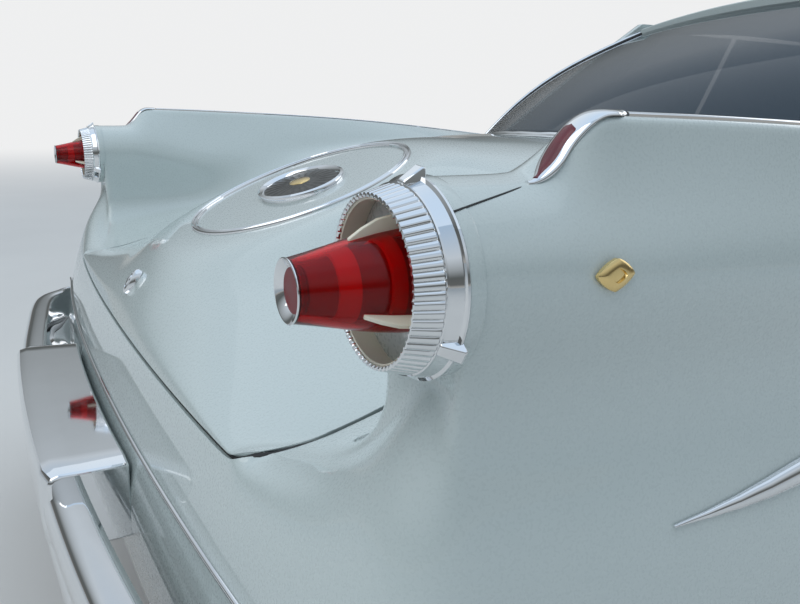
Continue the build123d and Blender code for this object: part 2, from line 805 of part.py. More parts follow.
def exhaust():
    """The left exhaust: down from the engine, through its muffler, over the axle and out."""
    x, z = 270.0, 196.0
    route = [
        (x, -1560, 520 - SEAT_GAP),
        (x, -1560, z),
        (x, 960, z),
        (x, 1160, 462),
        (x, 1440, 462),
        (x, 1800, 214),
        (x, 2690, 214),
    ]
    return tube_through(route, 24) + y_cone(72, 72, 380, 840, x, z + 20)


def floor():
    """Floor, tunnel, seat riser, sills and door posts."""
    z, t = FLOOR_Z, FLOOR_THICKNESS
    wall = INNER_WALL_X - 40
    tunnel = TUNNEL_HALF_WIDTH
    body = joined(
        block(-wall, wall, FIREWALL_Y, SEAT_RISER_Y, z, z + t),
        block(-wall, wall, SEAT_RISER_Y - t, SEAT_RISER_Y, z, SEAT_PAN_Z + t),
        block(-780, 780, SEAT_RISER_Y - t, BULKHEAD_Y, SEAT_PAN_Z, SEAT_PAN_Z + t),
        block(-tunnel, tunnel, FIREWALL_Y, SEAT_RISER_Y, z, z + TUNNEL_HEIGHT),
    )
    for side in (1, -1):
        s0, s1 = sorted((side * 780, side * 940))
        body += block(s0, s1, FRONT_DOOR_Y, 840 - SEAT_GAP, SILL_Z, DOOR_BOTTOM_Z - PANEL_GAP)
    left = joined(
        block(752, 806, FRONT_DOOR_Y - PANEL_GAP + SEAT_GAP, -620, z, 898 - SEAT_GAP),
        block(752, 806, 226, 280, z, 880),
        *hinge_leaves(),
    )
    for piece in both_sides(left):
        body += piece
    body -= tunnel_space()
    return body - wheel_house(ARCH_RADIUS + SHEET, 590, 1100)


def tunnel_space():
    """The room of the gearbox and shaft inside the tunnel."""
    half = TUNNEL_HALF_WIDTH - FLOOR_THICKNESS
    return block(-half, half, -1000, 1200, FLOOR_Z - 10, FLOOR_Z + TUNNEL_HEIGHT - FLOOR_THICKNESS)


def wheel_house(radius, x0, x1):
    """Cylinders about the rear wheels' line on both sides, between two widths."""
    left = x_cylinder(radius, x0, x1, REAR_AXLE_Y, TYRE_RADIUS)
    return left + mirror(left, about=Plane.YZ)


def firewall():
    """The wall between the engine and the cabin."""
    wall = INNER_WALL_X - 40
    body = block(-wall, wall, FIREWALL_Y - SHEET, FIREWALL_Y, FLOOR_Z, FIREWALL_TOP_Z)
    return body - tunnel_space()


def boot_floor():
    """The low floor of the boot."""
    return block(-640, 640, TRUNK_STEP_Y, 2600, TRUNK_FLOOR_Z, TRUNK_FLOOR_Z + FLOOR_THICKNESS)


def rear_bulkhead():
    """The wall behind the rear seat, the shelves over the axle and behind the seat, and the wheel houses."""
    t = FLOOR_THICKNESS
    body = joined(
        block(-780, 780, BULKHEAD_Y, BULKHEAD_Y + SHEET, SEAT_PAN_Z, PARCEL_SHELF_Z + SHEET),
        block(-620, 620, BULKHEAD_Y, TRUNK_STEP_Y, AXLE_SHELF_Z, AXLE_SHELF_Z + t),
        block(-620, 620, TRUNK_STEP_Y - t, TRUNK_STEP_Y, TRUNK_FLOOR_Z, AXLE_SHELF_Z + t),
    )
    shelf = plan_prism(((-640, 1080), (-640, 1400), (0, 1640), (640, 1400), (640, 1080)), 0, SHEET)
    body += Pos(0, 0, PARCEL_SHELF_Z) * shelf
    house = wheel_house(ARCH_RADIUS + SHEET, 590, INNER_WALL_X + 20)
    house -= block(-1100, 1100, 500, 2200, -200, TRUNK_FLOOR_Z)
    for side in (1, -1):
        x0, x1 = sorted((side * (INNER_WALL_X - 40), side * 1100))
        house -= block(x0, x1, 500, BULKHEAD_Y, -200, 1200)
    for piece in house.solids():
        body += piece
    return body - wheel_house(ARCH_RADIUS, 602, 1100) - boot_floor()


def hinge_leaves():
    """The fixed leaves of the left door hinges, in the gaps ahead of the doors."""
    leaves = []
    for z in (400.0, 640.0):
        y = FRONT_DOOR_Y - SEAT_GAP
        leaves.append(block(800, 980, y - LEAF, y, z, z + 60))
        edge = edge_y(MID_DOOR_Y) - SEAT_GAP
        leaf = slanted_slab(edge - LEAF, edge, z, z + 60)
        leaves.append(leaf & block(780, LOCK_STEP_X - PANEL_GAP, 0, 500, 200, 1300))
    return leaves


def inner_fenders():
    """The walls of the engine bay with their shelves over the wheels, and the radiator between."""
    x0, x1 = 440.0, 452.0
    y0, y1 = -2440.0, FIREWALL_Y - SHEET - SEAT_GAP
    shelf_z = 790.0
    body = block(x0, x1, y0, y1, FLOOR_Z, shelf_z + SHEET)
    body += block(x0, 787, y0, y1, shelf_z, shelf_z + SHEET)
    rows = []
    for y in (y0, -1949.0, -1300.0, y1):
        _, _, _, vx, vz = smooth(VALLEY, y)
        wall = INNER_WALL_X + 24
        top = vz - SKIN - 60 * (787 - vx) / (wall - vx) - SEAT_GAP
        rows.append(Wire.make_polygon([(775, y, shelf_z), (787, y, shelf_z), (787, y, top), (775, y, top)]))
    body += Solid.make_loft(rows, ruled=True)
    body -= block(x0 - 10, x1 + 10, FRONT_AXLE_Y - 50, FRONT_AXLE_Y + 50, 470, 530)
    core = block(-x1, x1, -2330, -2262, FLOOR_Z + 80, 760)
    return joined(body, mirror(body, about=Plane.YZ), core)


def fuel_tank():
    """The fuel tank under the boot floor, between the exhaust pipes."""
    tank = block(-236, 236, 1880, 2480, 240, TRUNK_FLOOR_Z - SEAT_GAP)
    return fillet(tank.edges().filter_by(Axis.Y), 30)


def bumper(end, low, high):
    """A chromed blade round the end of the car; end is 1 at the tail and -1 at the nose."""
    back, wide, deep = HALF_LENGTH, 1000.0, 58.0
    root = HALF_LENGTH - 314.0
    face = outline(
        (-wide, end * root, low),
        (-wide, end * (back - 190), low),
        ((-wide + 40, end * (back - 102), low), (-wide + 130, end * (back - 62), low)),
        ((0, end * back, low), (wide - 130, end * (back - 62), low)),
        ((wide - 40, end * (back - 102), low), (wide, end * (back - 190), low)),
        (wide, end * root, low),
        (wide - 14, end * root, low),
        (wide - 18, end * (back - 200), low),
        ((wide - 54, end * (back - 126), low), (wide - 150, end * (back - 62 - deep), low)),
        ((0, end * (back - deep), low), (-wide + 150, end * (back - 62 - deep), low)),
        ((-wide + 54, end * (back - 126), low), (-wide + 18, end * (back - 200), low)),
        (-wide + 14, end * root, low),
    )
    body = Solid.extrude(Face(face), Vector(0, 0, high - low))
    for side in (1, -1):
        y0, y1 = sorted((end * (RAIL_END_Y + SEAT_GAP), end * (back - 66)))
        body += block(side * 398 - 30, side * 398 + 30, y0, y1, 345, 369)
    return body


def fluted_cone(front_r, rear_r, y0, y1):
    """A cone along Y round the lamp, its outside cut into flutes."""
    wires = []
    for y, r in ((y0, front_r), (y1, rear_r)):
        points = []
        for k in range(4 * FLUTES):
            a = 2 * math.pi * (k + 0.5) / (4 * FLUTES)
            reach = r - (FLUTE_DEPTH if k % 4 == 3 else 0)
            points.append((LAMP_X + reach * math.cos(a), y, LAMP_Z + reach * math.sin(a)))
        wires.append(Wire.make_polygon(points))
    return Solid.make_loft(wires, ruled=True)


def lamp_ring():
    """One lamp ring: a smooth band, a fluted band, three ears and three vanes."""
    y0, y1 = FIN_END_Y + SEAT_GAP, FIN_END_Y + RING_LENGTH
    step_y = FIN_END_Y + RING_BAND
    step_r = RING_FRONT_R + (RING_REAR_R - RING_FRONT_R) * RING_BAND / RING_LENGTH
    body = y_cone(RING_FRONT_R, step_r, y0, step_y, LAMP_X, LAMP_Z)
    body += fluted_cone(step_r - RING_STEP, RING_REAR_R, step_y, y1)
    body -= y_cone(RING_FRONT_R - RING_WALL, RING_REAR_R - RING_WALL, y0 - 1, y1 + 1, LAMP_X, LAMP_Z)
    for turn in (90, 210, 330):
        ear = Pos(0, y0 + EAR_LENGTH / 2, RING_FRONT_R - RING_WALL / 2 + EAR_HEIGHT / 2)
        ear *= Box(EAR_WIDTH, EAR_LENGTH, EAR_HEIGHT)
        low, high = LENS_BASE_R, RING_REAR_R - RING_WALL / 2
        corners = [(y0, low), (VANE_END_Y, low - 2), (y1 - 5, high), (y0, high + 5)]
        face = Face(Wire.make_polygon([(-VANE / 2, y, r) for y, r in corners]))
        vane = Solid.extrude(face, Vector(VANE, 0, 0))
        vane -= y_cone(low + SEAT_GAP, low + SEAT_GAP, y0 - 9, LENS_TIP_Y, 0, 0)
        body += Pos(LAMP_X, 0, LAMP_Z) * Rot(0, 90 - turn, 0) * (ear + vane)
    return body


def lens():
    """One bullet lens on its base."""
    y0 = FIN_END_Y + SEAT_GAP
    body = y_cone(LENS_BASE_R, LENS_BASE_R - 1, y0, y0 + 50, LAMP_X, LAMP_Z)
    return body + y_cone(LENS_BASE_R - 1, LENS_TIP_R, y0 + 50, LENS_TIP_Y, LAMP_X, LAMP_Z)


def nose_panel():
    """The upright panel round the grille, with the headlamp holes."""
    half = INNER_WALL_X + 24 - SEAT_GAP
    top = HOOD_HALF_WIDTH + PANEL_GAP
    edge = [(-half, 420), (half, 420), (half, 741.8), (top, 800.6), (-top, 800.6), (-half, 741.8)]
    face = Face(Wire.make_polygon([(x, -2700, z) for x, z in edge]))
    body = Solid.extrude(face, Vector(0, 36, 0)) - block(-500, 500, -2800, -2600, 470, 745)
    for x in LAMP_PLACES:
        for side in (1, -1):
            body -= y_cone(HEADLAMP_R, HEADLAMP_R, -2800, -2600, side * x, HEADLAMP_Z)
    return body


def headlamps():
    """Four round sealed lamps."""
    lamps = []
    for x in LAMP_PLACES:
        lamps += both_sides(y_cone(HEADLAMP_R - 8, HEADLAMP_R - SEAT_GAP, -2722, -2668, x, HEADLAMP_Z))
    return lamps


def grille():
    """The grille: a frame with upright and level bars."""
    y0, y1 = -2698, -2676
    body = block(-499.7, 499.7, y0, y1, 470.3, 744.7) - block(-485, 485, y0 - 5, y1 + 5, 485, 730)
    for k in range(23):
        body += block(-443 + 40 * k, -437 + 40 * k, y0, y1, 484, 731)
    for k in range(5):
        body += block(-486, 486, y0, y1, 523 + 41 * k, 529 + 41 * k)
    return body


def seat(y0, y1, lean, width, back_width, back_low):
    """A bench seat: cushion on the tunnel and leaning back rest, each a plain solid."""
    low, top = FLOOR_Z + TUNNEL_HEIGHT + SEAT_GAP, 585.0
    cushion = block(-width, width, y0, y1, low, top)
    y1 += SEAT_GAP
    points = [(y1, back_low), (y1 + 120, back_low), (y1 + 120 + lean, 850), (y1 + 20 + lean, 850)]
    back = Face(Wire.make_polygon([(-back_width, y, z) for y, z in points]))
    return cushion, Solid.extrude(back, Vector(2 * back_width, 0, 0))


def steering_wheel():
    """The steering wheel: rim, two spokes, hub and shaft about its leaning column."""
    shaft = Pos(0, 0, -60) * Cylinder(SHAFT_R, 120)
    return WHEEL_PLACE * joined(Torus(205, 13), Cylinder(34, 40), Box(396, 34, 10), shaft)


def column():
    """The steering column, from under the wheel down to the firewall."""
    tube = Pos(0, 0, -259) * Cylinder(COLUMN_R, 456)
    bore = Pos(0, 0, -80) * Cylinder(SHAFT_R + SPINDLE_CLEARANCE, 120)
    return WHEEL_PLACE * (tube - bore)


def dashboard():
    """The dashboard between the front posts, with a notch for the column."""
    half = 752 - SEAT_GAP
    plan = ((-half, -640), (-half, -662), (0, -852), (half, -662), (half, -640))
    return plan_prism(plan, 700, 880) - WHEEL_PLACE * Pos(0, 0, -259) * Cylinder(COLUMN_R + SEAT_GAP, 700)


def main():
    os.makedirs("parts", exist_ok=True)
    write("frame_rails", frame())
    write("floor_and_sills", floor())
    write("firewall", firewall())
    write("rear_bulkhead", rear_bulkhead())
    write("boot_floor", boot_floor())
    write("inner_fenders", inner_fenders())
    write("engine_block", engine())
    write("exhaust_pipes", *both_sides(exhaust()))
    write("fuel_tank", fuel_tank())
    write("front_suspension", *front_suspension())
    write("rear_axle", rear_axle())
    write("rear_springs", *springs())
    write("tail_panel", tail())
    write("deck_panel", deck_panel())
    write("cowl_panel", cowl())
    write("roof_panel", roof())
    write("windscreen", windscreen())
    write("rear_window", rear_glass())
    write("deck_lid", deck_lid())
    write("deck_ring", *deck_ring())
    write("hood_panel", hood())
    write("nose_panel", nose_panel())
    write("grille", grille())
    write("headlamps", *headlamps())
    write("front_bumper", bumper(-1, 320.0, 520.0))
    write("rear_bumper", bumper(1, 338.0, 560.0))
    write("tail_lamp_rings", *both_sides(lamp_ring()))
    write("tail_lamp_lenses", *both_sides(lens()))
    write("dashboard", dashboard())
    write("steering_column", column())
    write("steering_wheel", steering_wheel())
    write("front_seat", *seat(-250, 260, 90, 700, 700, 420))
    write("rear_seat", *seat(480, SEAT_RISER_Y - FLOOR_THICKNESS - SEAT_GAP, 60, 690, 560, REAR_BACK_Z))
    shapes = (
        ("front_fender", front_fender()),
        ("front_door", front_door()),
        ("rear_door", rear_door()),
        ("quarter_panel", quarter()),
        ("front_door_glass", door_glass(-600, -400, 285, 285)),
        ("rear_door_glass", door_glass(318, 318, 1060, 720)),
        ("knuckle", knuckle()),
    )
    for side, sign in (("left", 1), ("right", -1)):
        for name, shape in shapes:
            write(name + "_" + side, shape if sign > 0 else mirror(shape, about=Plane.YZ))
        for end, y, track in (
            ("front", FRONT_AXLE_Y, FRONT_TRACK_HALF),
            ("rear", REAR_AXLE_Y, REAR_TRACK_HALF),
        ):
            write(f"tyre_{end}_{side}", tyre(sign, y, track))
            write(f"wheel_{end}_{side}", wheel(sign, y, track))


main()
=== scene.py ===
import functools
import math

import bmesh
import bpy
import numpy as np
from mathutils import Matrix, Vector


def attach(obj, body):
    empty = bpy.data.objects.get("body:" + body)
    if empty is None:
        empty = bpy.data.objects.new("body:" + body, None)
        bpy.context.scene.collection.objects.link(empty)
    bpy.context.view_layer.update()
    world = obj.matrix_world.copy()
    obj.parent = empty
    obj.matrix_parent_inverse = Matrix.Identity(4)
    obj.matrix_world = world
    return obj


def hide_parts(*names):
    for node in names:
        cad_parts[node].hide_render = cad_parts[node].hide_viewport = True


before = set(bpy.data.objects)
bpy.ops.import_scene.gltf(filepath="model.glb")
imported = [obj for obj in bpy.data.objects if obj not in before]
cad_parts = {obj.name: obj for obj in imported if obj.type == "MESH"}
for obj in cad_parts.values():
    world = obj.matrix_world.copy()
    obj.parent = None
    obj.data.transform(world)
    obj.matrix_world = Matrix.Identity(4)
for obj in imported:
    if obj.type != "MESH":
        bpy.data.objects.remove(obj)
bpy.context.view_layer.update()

# Metres in Blender. The tables are in millimetres, as the body is drawn.
MM = 0.001
SIDES = (("left", 1), ("right", -1))

# The camera of the photograph, for an image 800 pixels wide
IMAGE_WIDTH = 800
CAMERA_PLACE = (-1.34891, 2.88782, 1.04087)
CAMERA_YAW, CAMERA_PITCH, CAMERA_ROLL = 29.339, 14.295, 0.943
CAMERA_FOCAL_PIXELS = 737.85

FRONT_AXLE_Y, REAR_AXLE_Y = -1.949, 1.328
TYRE_R, TRACK = 0.360, 0.785
ARCH_R, FRONT_ARCH_TOP, REAR_ARCH_TOP = 0.412, 0.758, 0.668
GAP = 0.006
NOSE_Y, COWL_Y, FRONT_DOOR_Y, MID_DOOR_Y, REAR_DOOR_Y = -2.742, -0.925, -0.762, 0.302, 1.078
FIN_END_Y, DECK_FRONT_Y = 2.600, 1.830
SILL_Z, DOOR_BOTTOM_Z, INNER_X = 0.222, 0.305, 0.838
DOGLEG = 0.054
DOOR_ARCH_R = ARCH_R + DOGLEG + GAP
DOOR_CUT_Y = REAR_AXLE_Y - DOOR_ARCH_R
LEAN = math.tan(math.radians(16))
LAMP_X, LAMP_Z, POD_R = 0.875, 0.920, 0.078
LID_X, LID_EDGE_Z = 0.655, 0.684
HOOD_X, COWL_X, COWL_Z, COWL_CROWN = 0.738, 0.742, 0.908, 0.066
RING_Y, RING_Z, RING_R, RING_TILT = 2.353, 0.904, 0.215, 20.5

# Body side. Columns: y, sill x, bulge x, bulge z, waist x, waist z, neck x, neck z,
# shoulder x, shoulder z, crest x, crest z
SIDE = (
    (-2742, 880, 930, 470, 912, 650, 916, 716, 918, 770, 885, 880),
    (-2450, 925, 985, 480, 955, 690, 956, 754, 957, 810, 908, 905),
    (-1949, 940, 1005, 490, 968, 700, 968, 766, 968, 820, 920, 925),
    (-1300, 945, 1015, 500, 975, 710, 973, 772, 970, 825, 928, 928),
    (-762, 945, 1020, 500, 978, 710, 975, 770, 970, 822, 930, 918),
    (302, 945, 1022, 500, 980, 710, 977, 772, 972, 825, 936, 925),
    (1078, 945, 1020, 500, 982, 720, 977, 788, 975, 850, 942, 955),
    (1700, 940, 1012, 500, 978, 730, 968, 808, 975, 880, 938, 1012),
    (2200, 925, 995, 490, 968, 735, 950, 826, 966, 900, 925, 1037),
    (2450, 905, 975, 480, 956, 735, 935, 838, 956, 915, 917, 1043),
    (2600, 885, 955, 470, 943, 738, 921, 842, 953, 920, 917, 1043),
)
# Inner side of the fender. Columns: y, inner x, inner z, valley x, valley z
VALLEY = (
    (-2742, 820, 846, 742, 794),
    (-2560, 828, 866, 744, 834),
    (-2450, 835, 880, 745, 856),
    (-1949, 845, 905, 748, 893),
    (-1300, 850, 915, 750, 905),
    (-762, 855, 915, 752, 908),
    (1078, 846, 950, 661, 960),
    (1450, 846, 962, 661, 955),
    (1830, 832, 942, 661, 938),
    (2080, 818, 914, 661, 862),
    (2353, 806, 896, 661, 779),
    (2560, 798, 918, 661, 705),
    (2600, 797, 920, 661, 696),
)
# The tail. Columns: z, y beside the lamp, y at the middle
TAIL = (
    (222, 2690, 2730),
    (300, 2700, 2742),
    (420, 2720, 2758),
    (500, 2716, 2757),
    (610, 2690, 2734),
    (685, 2668, 2712),
    (735, 2656, 2690),
    (790, 2640, 2670),
    (842, 2622, 2650),
)
DECK_Y = (1084, 1450, 1830, 2080, 2353, 2560, 2650)
# The deck over the boot. Columns: x, then z at each y of DECK_Y
DECK = (
    (0, 1002, 1004, 996, 981, 904, 828, 768),
    (250, 998, 999, 991, 966, 876, 796, 745),
    (450, 988, 986, 977, 930, 818, 750, 718),
    (655, 960, 955, 938, 862, 779, 705, 687),
)
# Hood. Columns: y, z at the middle, z at the side
HOOD = ((-2652, 832, 800), (-2560, 880, 842), (-2200, 926, 884), (-1500, 956, 903), (-931, 972, 908))
# Roof. Columns: y, edge x, edge z, top z
ROOF = ((-560, 602, 1350, 1388), (-100, 636, 1372, 1430), (380, 640, 1374, 1438), (880, 586, 1332, 1383))


class Curve:
    """A curve through the rows of a table with even bending. Its first column is the place."""

    def __init__(self, rows):
        table = np.array(rows, float)
        self.at, self.value = table[:, 0], table[:, 1:]
        step = np.diff(self.at)
        slope = np.diff(self.value, axis=0) / step[:, None]
        system, right = np.eye(len(table)), np.zeros_like(self.value)
        for i in range(1, len(table) - 1):
            system[i, i - 1 : i + 2] = step[i - 1], 2 * (step[i - 1] + step[i]), step[i]
            right[i] = 6 * (slope[i] - slope[i - 1])
        self.bend = np.linalg.solve(system, right)

    def __call__(self, place):
        place = min(max(place, self.at[0]), self.at[-1])
        i = int(min(max(np.searchsorted(self.at, place) - 1, 0), len(self.at) - 2))
        h = self.at[i + 1] - self.at[i]
        a = (self.at[i + 1] - place) / h
        b = 1 - a
        bend = (a**3 - a) * self.bend[i] + (b**3 - b) * self.bend[i + 1]
        return a * self.value[i] + b * self.value[i + 1] + bend * h * h / 6


def ramp(value, low, high):
    """0 below low, 1 above high, and smooth between."""
    t = min(max((value - low) / (high - low), 0.0), 1.0)
    return t * t * t * (t * (6 * t - 15) + 10)


def along(points):
    """A Curve by distance through points, and the distance at each point."""
    points = np.array(points, float)
    far = np.concatenate([[0], np.cumsum(np.linalg.norm(np.diff(points, axis=0), axis=1))])
    return Curve(np.column_stack([far, points])), far


side_table, valley_table, tail_table, roof_table = (Curve(rows) for rows in (SIDE, VALLEY, TAIL, ROOF))
CREST_WIDTH = 0.026


@functools.lru_cache(None)
def section(y):
    """The outer and inner curves of the body side at y, each with the distances of its knots."""
    sill, bx, bz, wx, wz, nx, nz, sx, sz, cx, cz = side_table(y / MM) * MM
    ix, iz, vx, vz = valley_table(y / MM) * MM
    lamp = np.array([LAMP_X, LAMP_Z])

    def moved(plain, from_lamp, share):
        """A knot on its way from its plain place to one given from the lamp's middle."""
        return np.array(plain) * (1 - share) + (lamp + from_lamp) * share

    pod, drop, swell = ramp(y, 2.30, 2.56), ramp(y, 2.456, 2.534), ramp(y, 1.9, 2.5)
    crest = moved((cx, cz), (0.0310, 0.0716), drop)
    crest_in = moved((cx - CREST_WIDTH, cz), (0.0050, 0.0778), drop)
    upper = moved(((sx + crest[0]) / 2 - 0.002, (sz + crest[1]) / 2), (0.0552, 0.0552), pod)
    fall = moved((crest_in[0] * 0.42 + ix * 0.58, crest_in[1] * 0.45 + iz * 0.55), (-0.0552, 0.0552), pod)
    foot = moved(((ix + vx) / 2, (iz + vz) / 2), (-0.067, -0.135), swell)
    outer = [(sill, SILL_Z), (bx, bz), (wx, wz), (nx, nz), (sx, sz), upper, crest]
    return along(outer), along([crest_in, fall, (ix, iz), foot, (vx, vz)])


def on_curve(curve, place):
    """The point of a section curve at a place counted in knots."""
    line, far = curve
    return line(float(np.interp(place, range(len(far)), far)))


@functools.lru_cache(None)
def heights(y):
    """Places and heights along the lower part of the outer section at y."""
    places = np.linspace(0, 3, 61)
    return places, np.array([on_curve(section(y)[0], t)[1] for t in places])


def outer_at(y, z):
    """The place on the outer section at y where it is z high."""
    places, high = heights(y)
    return float(np.interp(z, high, places))


def waist_z(y):
    """The height of the waist, which is at place 2 of the outer section."""
    places, high = heights(y)
    return high[list(places).index(2.0)]


def point(y, place):
    """A point of the body side. Places 0 to 6 are outside, and 10 and more on the inner side."""
    outer, inner = section(round(y, 5))
    x, z = on_curve(outer, place) if place < 8 else on_curve(inner, place - 10)
    return np.array([x, y, z])


# Materials


def material(name, colour, rough=0.4, metal=0.0, **more):
    """A material whose colour and gloss vary a little from place to place.

    More holds: vary, scale, detail, stretch and reach (half the width of the colour ramp) of the
    mottling, bump and bump_scale, coat, sheen, through for clear materials, ior and alpha.
    """
    made = bpy.data.materials.new(name)
    made.use_nodes = True
    nodes, links = made.node_tree.nodes, made.node_tree.links
    shader = nodes["Principled BSDF"]
    place = nodes.new("ShaderNodeTexCoord")
    stretch = nodes.new("ShaderNodeMapping")
    stretch.inputs["Scale"].default_value = more.get("stretch", (1, 1, 1))
    links.new(place.outputs["Object"], stretch.inputs["Vector"])
    noise = nodes.new("ShaderNodeTexNoise")
    noise.inputs["Scale"].default_value = more.get("scale", 6.0)
    noise.inputs["Detail"].default_value = more.get("detail", 4.0)
    links.new(stretch.outputs["Vector"], noise.inputs["Vector"])
    tint = nodes.new("ShaderNodeValToRGB")
    vary, reach = more.get("vary", 0.06), more.get("reach", 0.2)
    for stop, sign in zip(tint.color_ramp.elements, (-1, 1)):
        stop.position = 0.5 + sign * reach
        stop.color = (*(min(1.0, c * (1 + sign * vary)) for c in colour), 1)
    links.new(noise.outputs["Fac"], tint.inputs["Fac"])
    links.new(tint.outputs["Color"], shader.inputs["Base Color"])
    gloss = nodes.new("ShaderNodeMapRange")
    gloss.inputs["To Min"].default_value = rough * 0.85
    gloss.inputs["To Max"].default_value = rough * 1.15
    links.new(noise.outputs["Fac"], gloss.inputs["Value"])
    links.new(gloss.outputs["Result"], shader.inputs["Roughness"])
    for socket, value in (
        ("Metallic", metal),
        ("Coat Weight", more.get("coat", 0.0)),
        ("Coat Roughness", 0.03),
        ("Sheen Weight", more.get("sheen", 0.0)),
        ("Transmission Weight", more.get("through", 0.0)),
        ("Alpha", more.get("alpha", 1.0)),
        ("IOR", more.get("ior", 1.5)),
    ):
        shader.inputs[socket].default_value = value
    if more.get("bump"):
        grain = nodes.new("ShaderNodeTexNoise")
        grain.inputs["Scale"].default_value = more.get("bump_scale", 400.0)
        links.new(stretch.outputs["Vector"], grain.inputs["Vector"])
        bump = nodes.new("ShaderNodeBump")
        bump.inputs["Strength"].default_value = more["bump"]
        bump.inputs["Distance"].default_value = 0.0005
        links.new(grain.outputs["Fac"], bump.inputs["Height"])
        links.new(bump.outputs["Normal"], shader.inputs["Normal"])
    return made


PAINT = material("pearl_paint", (0.545, 0.625, 0.622), 0.28, vary=0.010, scale=320.0, coat=1.0,
                 detail=1.0, reach=0.5)
UNDERSIDE = material("underside_paint", (0.10, 0.10, 0.10), 0.6, vary=0.2, bump=0.3, bump_scale=90)
CHROME = material("polished_chrome", (0.80, 0.81, 0.82), 0.045, 1.0, vary=0.03, scale=9.0)
SATIN = material("satin_metal", (0.66, 0.65, 0.62), 0.28, 1.0, vary=0.06, scale=30.0)
CREAM = material("cream_enamel", (0.86, 0.82, 0.68), 0.35, vary=0.05, scale=20.0)
RED_GLASS = material("red_lens", (0.66, 0.006, 0.008), 0.02, vary=0.05, scale=12.0, through=0.95, ior=1.36)
RED_CORE = material("red_inner_lens", (0.34, 0.002, 0.004), 0.25, vary=0.12, scale=40.0)
# The two bands inside the tail lens are painted glow: bright colour that stands for light shining through the
# red glass.
PAINTED_AMBER_GLOW = material("painted_amber_glow", (0.95, 0.42, 0.03), 0.3, vary=0.15, scale=50.0)
PAINTED_RED_GLOW = material("bright_red_band", (0.95, 0.012, 0.006), 0.3, vary=0.1, scale=50.0)
RED_DISC = material("red_disc", (0.17, 0.002, 0.006), 0.35, vary=0.15, scale=60.0)
RED_REFLECTOR = material("red_reflector", (0.12, 0.002, 0.010), 0.22, vary=0.15, scale=60.0, coat=0.1)
GILT = material("gilt", (0.83, 0.62, 0.28), 0.16, 1.0, vary=0.06, scale=50.0)
# The window glass is near black and mostly opaque: painted shade of the dark cabin seen through it.
SHADED_GLASS = material("window_glass", (0.006, 0.022, 0.038), 0.015, vary=0.02, ior=1.62, alpha=0.74)
CLEAR = material("lamp_glass", (0.93, 0.95, 0.96), 0.03, vary=0.02, through=1.0, ior=1.5)
RUBBER = material("black_rubber", (0.018, 0.018, 0.019), 0.62, vary=0.2, scale=40.0)
BLACK = material("satin_black", (0.022, 0.022, 0.023), 0.45, vary=0.25, scale=20.0, bump=0.15)
CAST = material("engine_paint", (0.16, 0.19, 0.21), 0.5, vary=0.15, scale=14.0, bump=0.5, bump_scale=120)
RUST_STEEL = material("exhaust_steel", (0.30, 0.25, 0.20), 0.5, 0.9, vary=0.3, scale=18.0, bump=0.4)
TANK = material("tank_coating", (0.07, 0.07, 0.07), 0.55, vary=0.25, scale=12.0, bump=0.3)
CARPET = material("carpet", (0.07, 0.095, 0.115), 0.95, vary=0.25, scale=120.0, sheen=0.3, bump=1.0,
                  bump_scale=900)
CLOTH = material("seat_cloth", (0.235, 0.30, 0.335), 0.85, vary=0.12, scale=160.0, sheen=0.4, bump=0.9,
                 bump_scale=1100)
VINYL = material("seat_vinyl", (0.52, 0.565, 0.575), 0.42, vary=0.05, scale=30.0, bump=0.35, bump_scale=420)
DASH = material("dash_enamel", (0.16, 0.235, 0.27), 0.35, vary=0.06, scale=10.0, coat=0.4)
LINER = material("headliner", (0.17, 0.18, 0.19), 0.85, vary=0.04, scale=50.0, bump=0.6, bump_scale=700)
DARK_FACE = material("dark_face", (0.055, 0.052, 0.045), 0.30, 0.6, vary=0.5, scale=90.0, bump=0.5,
                     bump_scale=260)
WHITE_WALL = material("white_wall", (0.78, 0.76, 0.72), 0.6, vary=0.05, scale=30.0, bump=0.1)
WHEEL_PAINT = material("wheel_paint", (0.16, 0.16, 0.165), 0.5, vary=0.1, scale=20.0)


# Mesh tools


def build(name, points, faces, paint, body, slot, replaces=(), outward=None, thick=0.0, levels=0, bevel=0.0,
          sharp=38.0):
    """One piece from points and faces, on its body, with its material.

    Outward turns an open sheet to face that way. Thick gives it an inward thickness, levels
    subdivides it and bevel rounds its edges.
    """
    mesh = bpy.data.meshes.new(name)
    mesh.from_pydata([tuple(map(float, p)) for p in points], [], faces)
    mesh.validate()
    mesh.update()
    if outward is not None:
        lean = sum(f.area * f.normal.dot(Vector(outward(f.center))) for f in mesh.polygons)
        if lean < 0:
            mesh.flip_normals()
    mesh.polygons.foreach_set("use_smooth", [True] * len(mesh.polygons))
    if levels == 0:
        mesh.set_sharp_from_angle(angle=math.radians(sharp))
    piece = bpy.data.objects.new(name, mesh)
    bpy.context.scene.collection.objects.link(piece)
    for one in paint if isinstance(paint, (list, tuple)) else [paint]:
        mesh.materials.append(one)
    if levels:
        smoother = piece.modifiers.new("smooth", "SUBSURF")
        smoother.levels = smoother.render_levels = levels
        smoother.boundary_smooth = "PRESERVE_CORNERS"
    if thick:
        wall = piece.modifiers.new("wall", "SOLIDIFY")
        wall.thickness, wall.offset = thick, -1.0
        if len(mesh.materials) > 1:
            wall.material_offset = 1
    if bevel:
        edge = piece.modifiers.new("edge", "BEVEL")
        edge.width, edge.segments, edge.limit_method = bevel, 2, "ANGLE"
        edge.angle_limit = math.radians(50)
        edge.use_clamp_overlap = False
        edge.harden_normals = levels > 0
    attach(piece, body)
    if replaces:
        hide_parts(*replaces)
    return piece


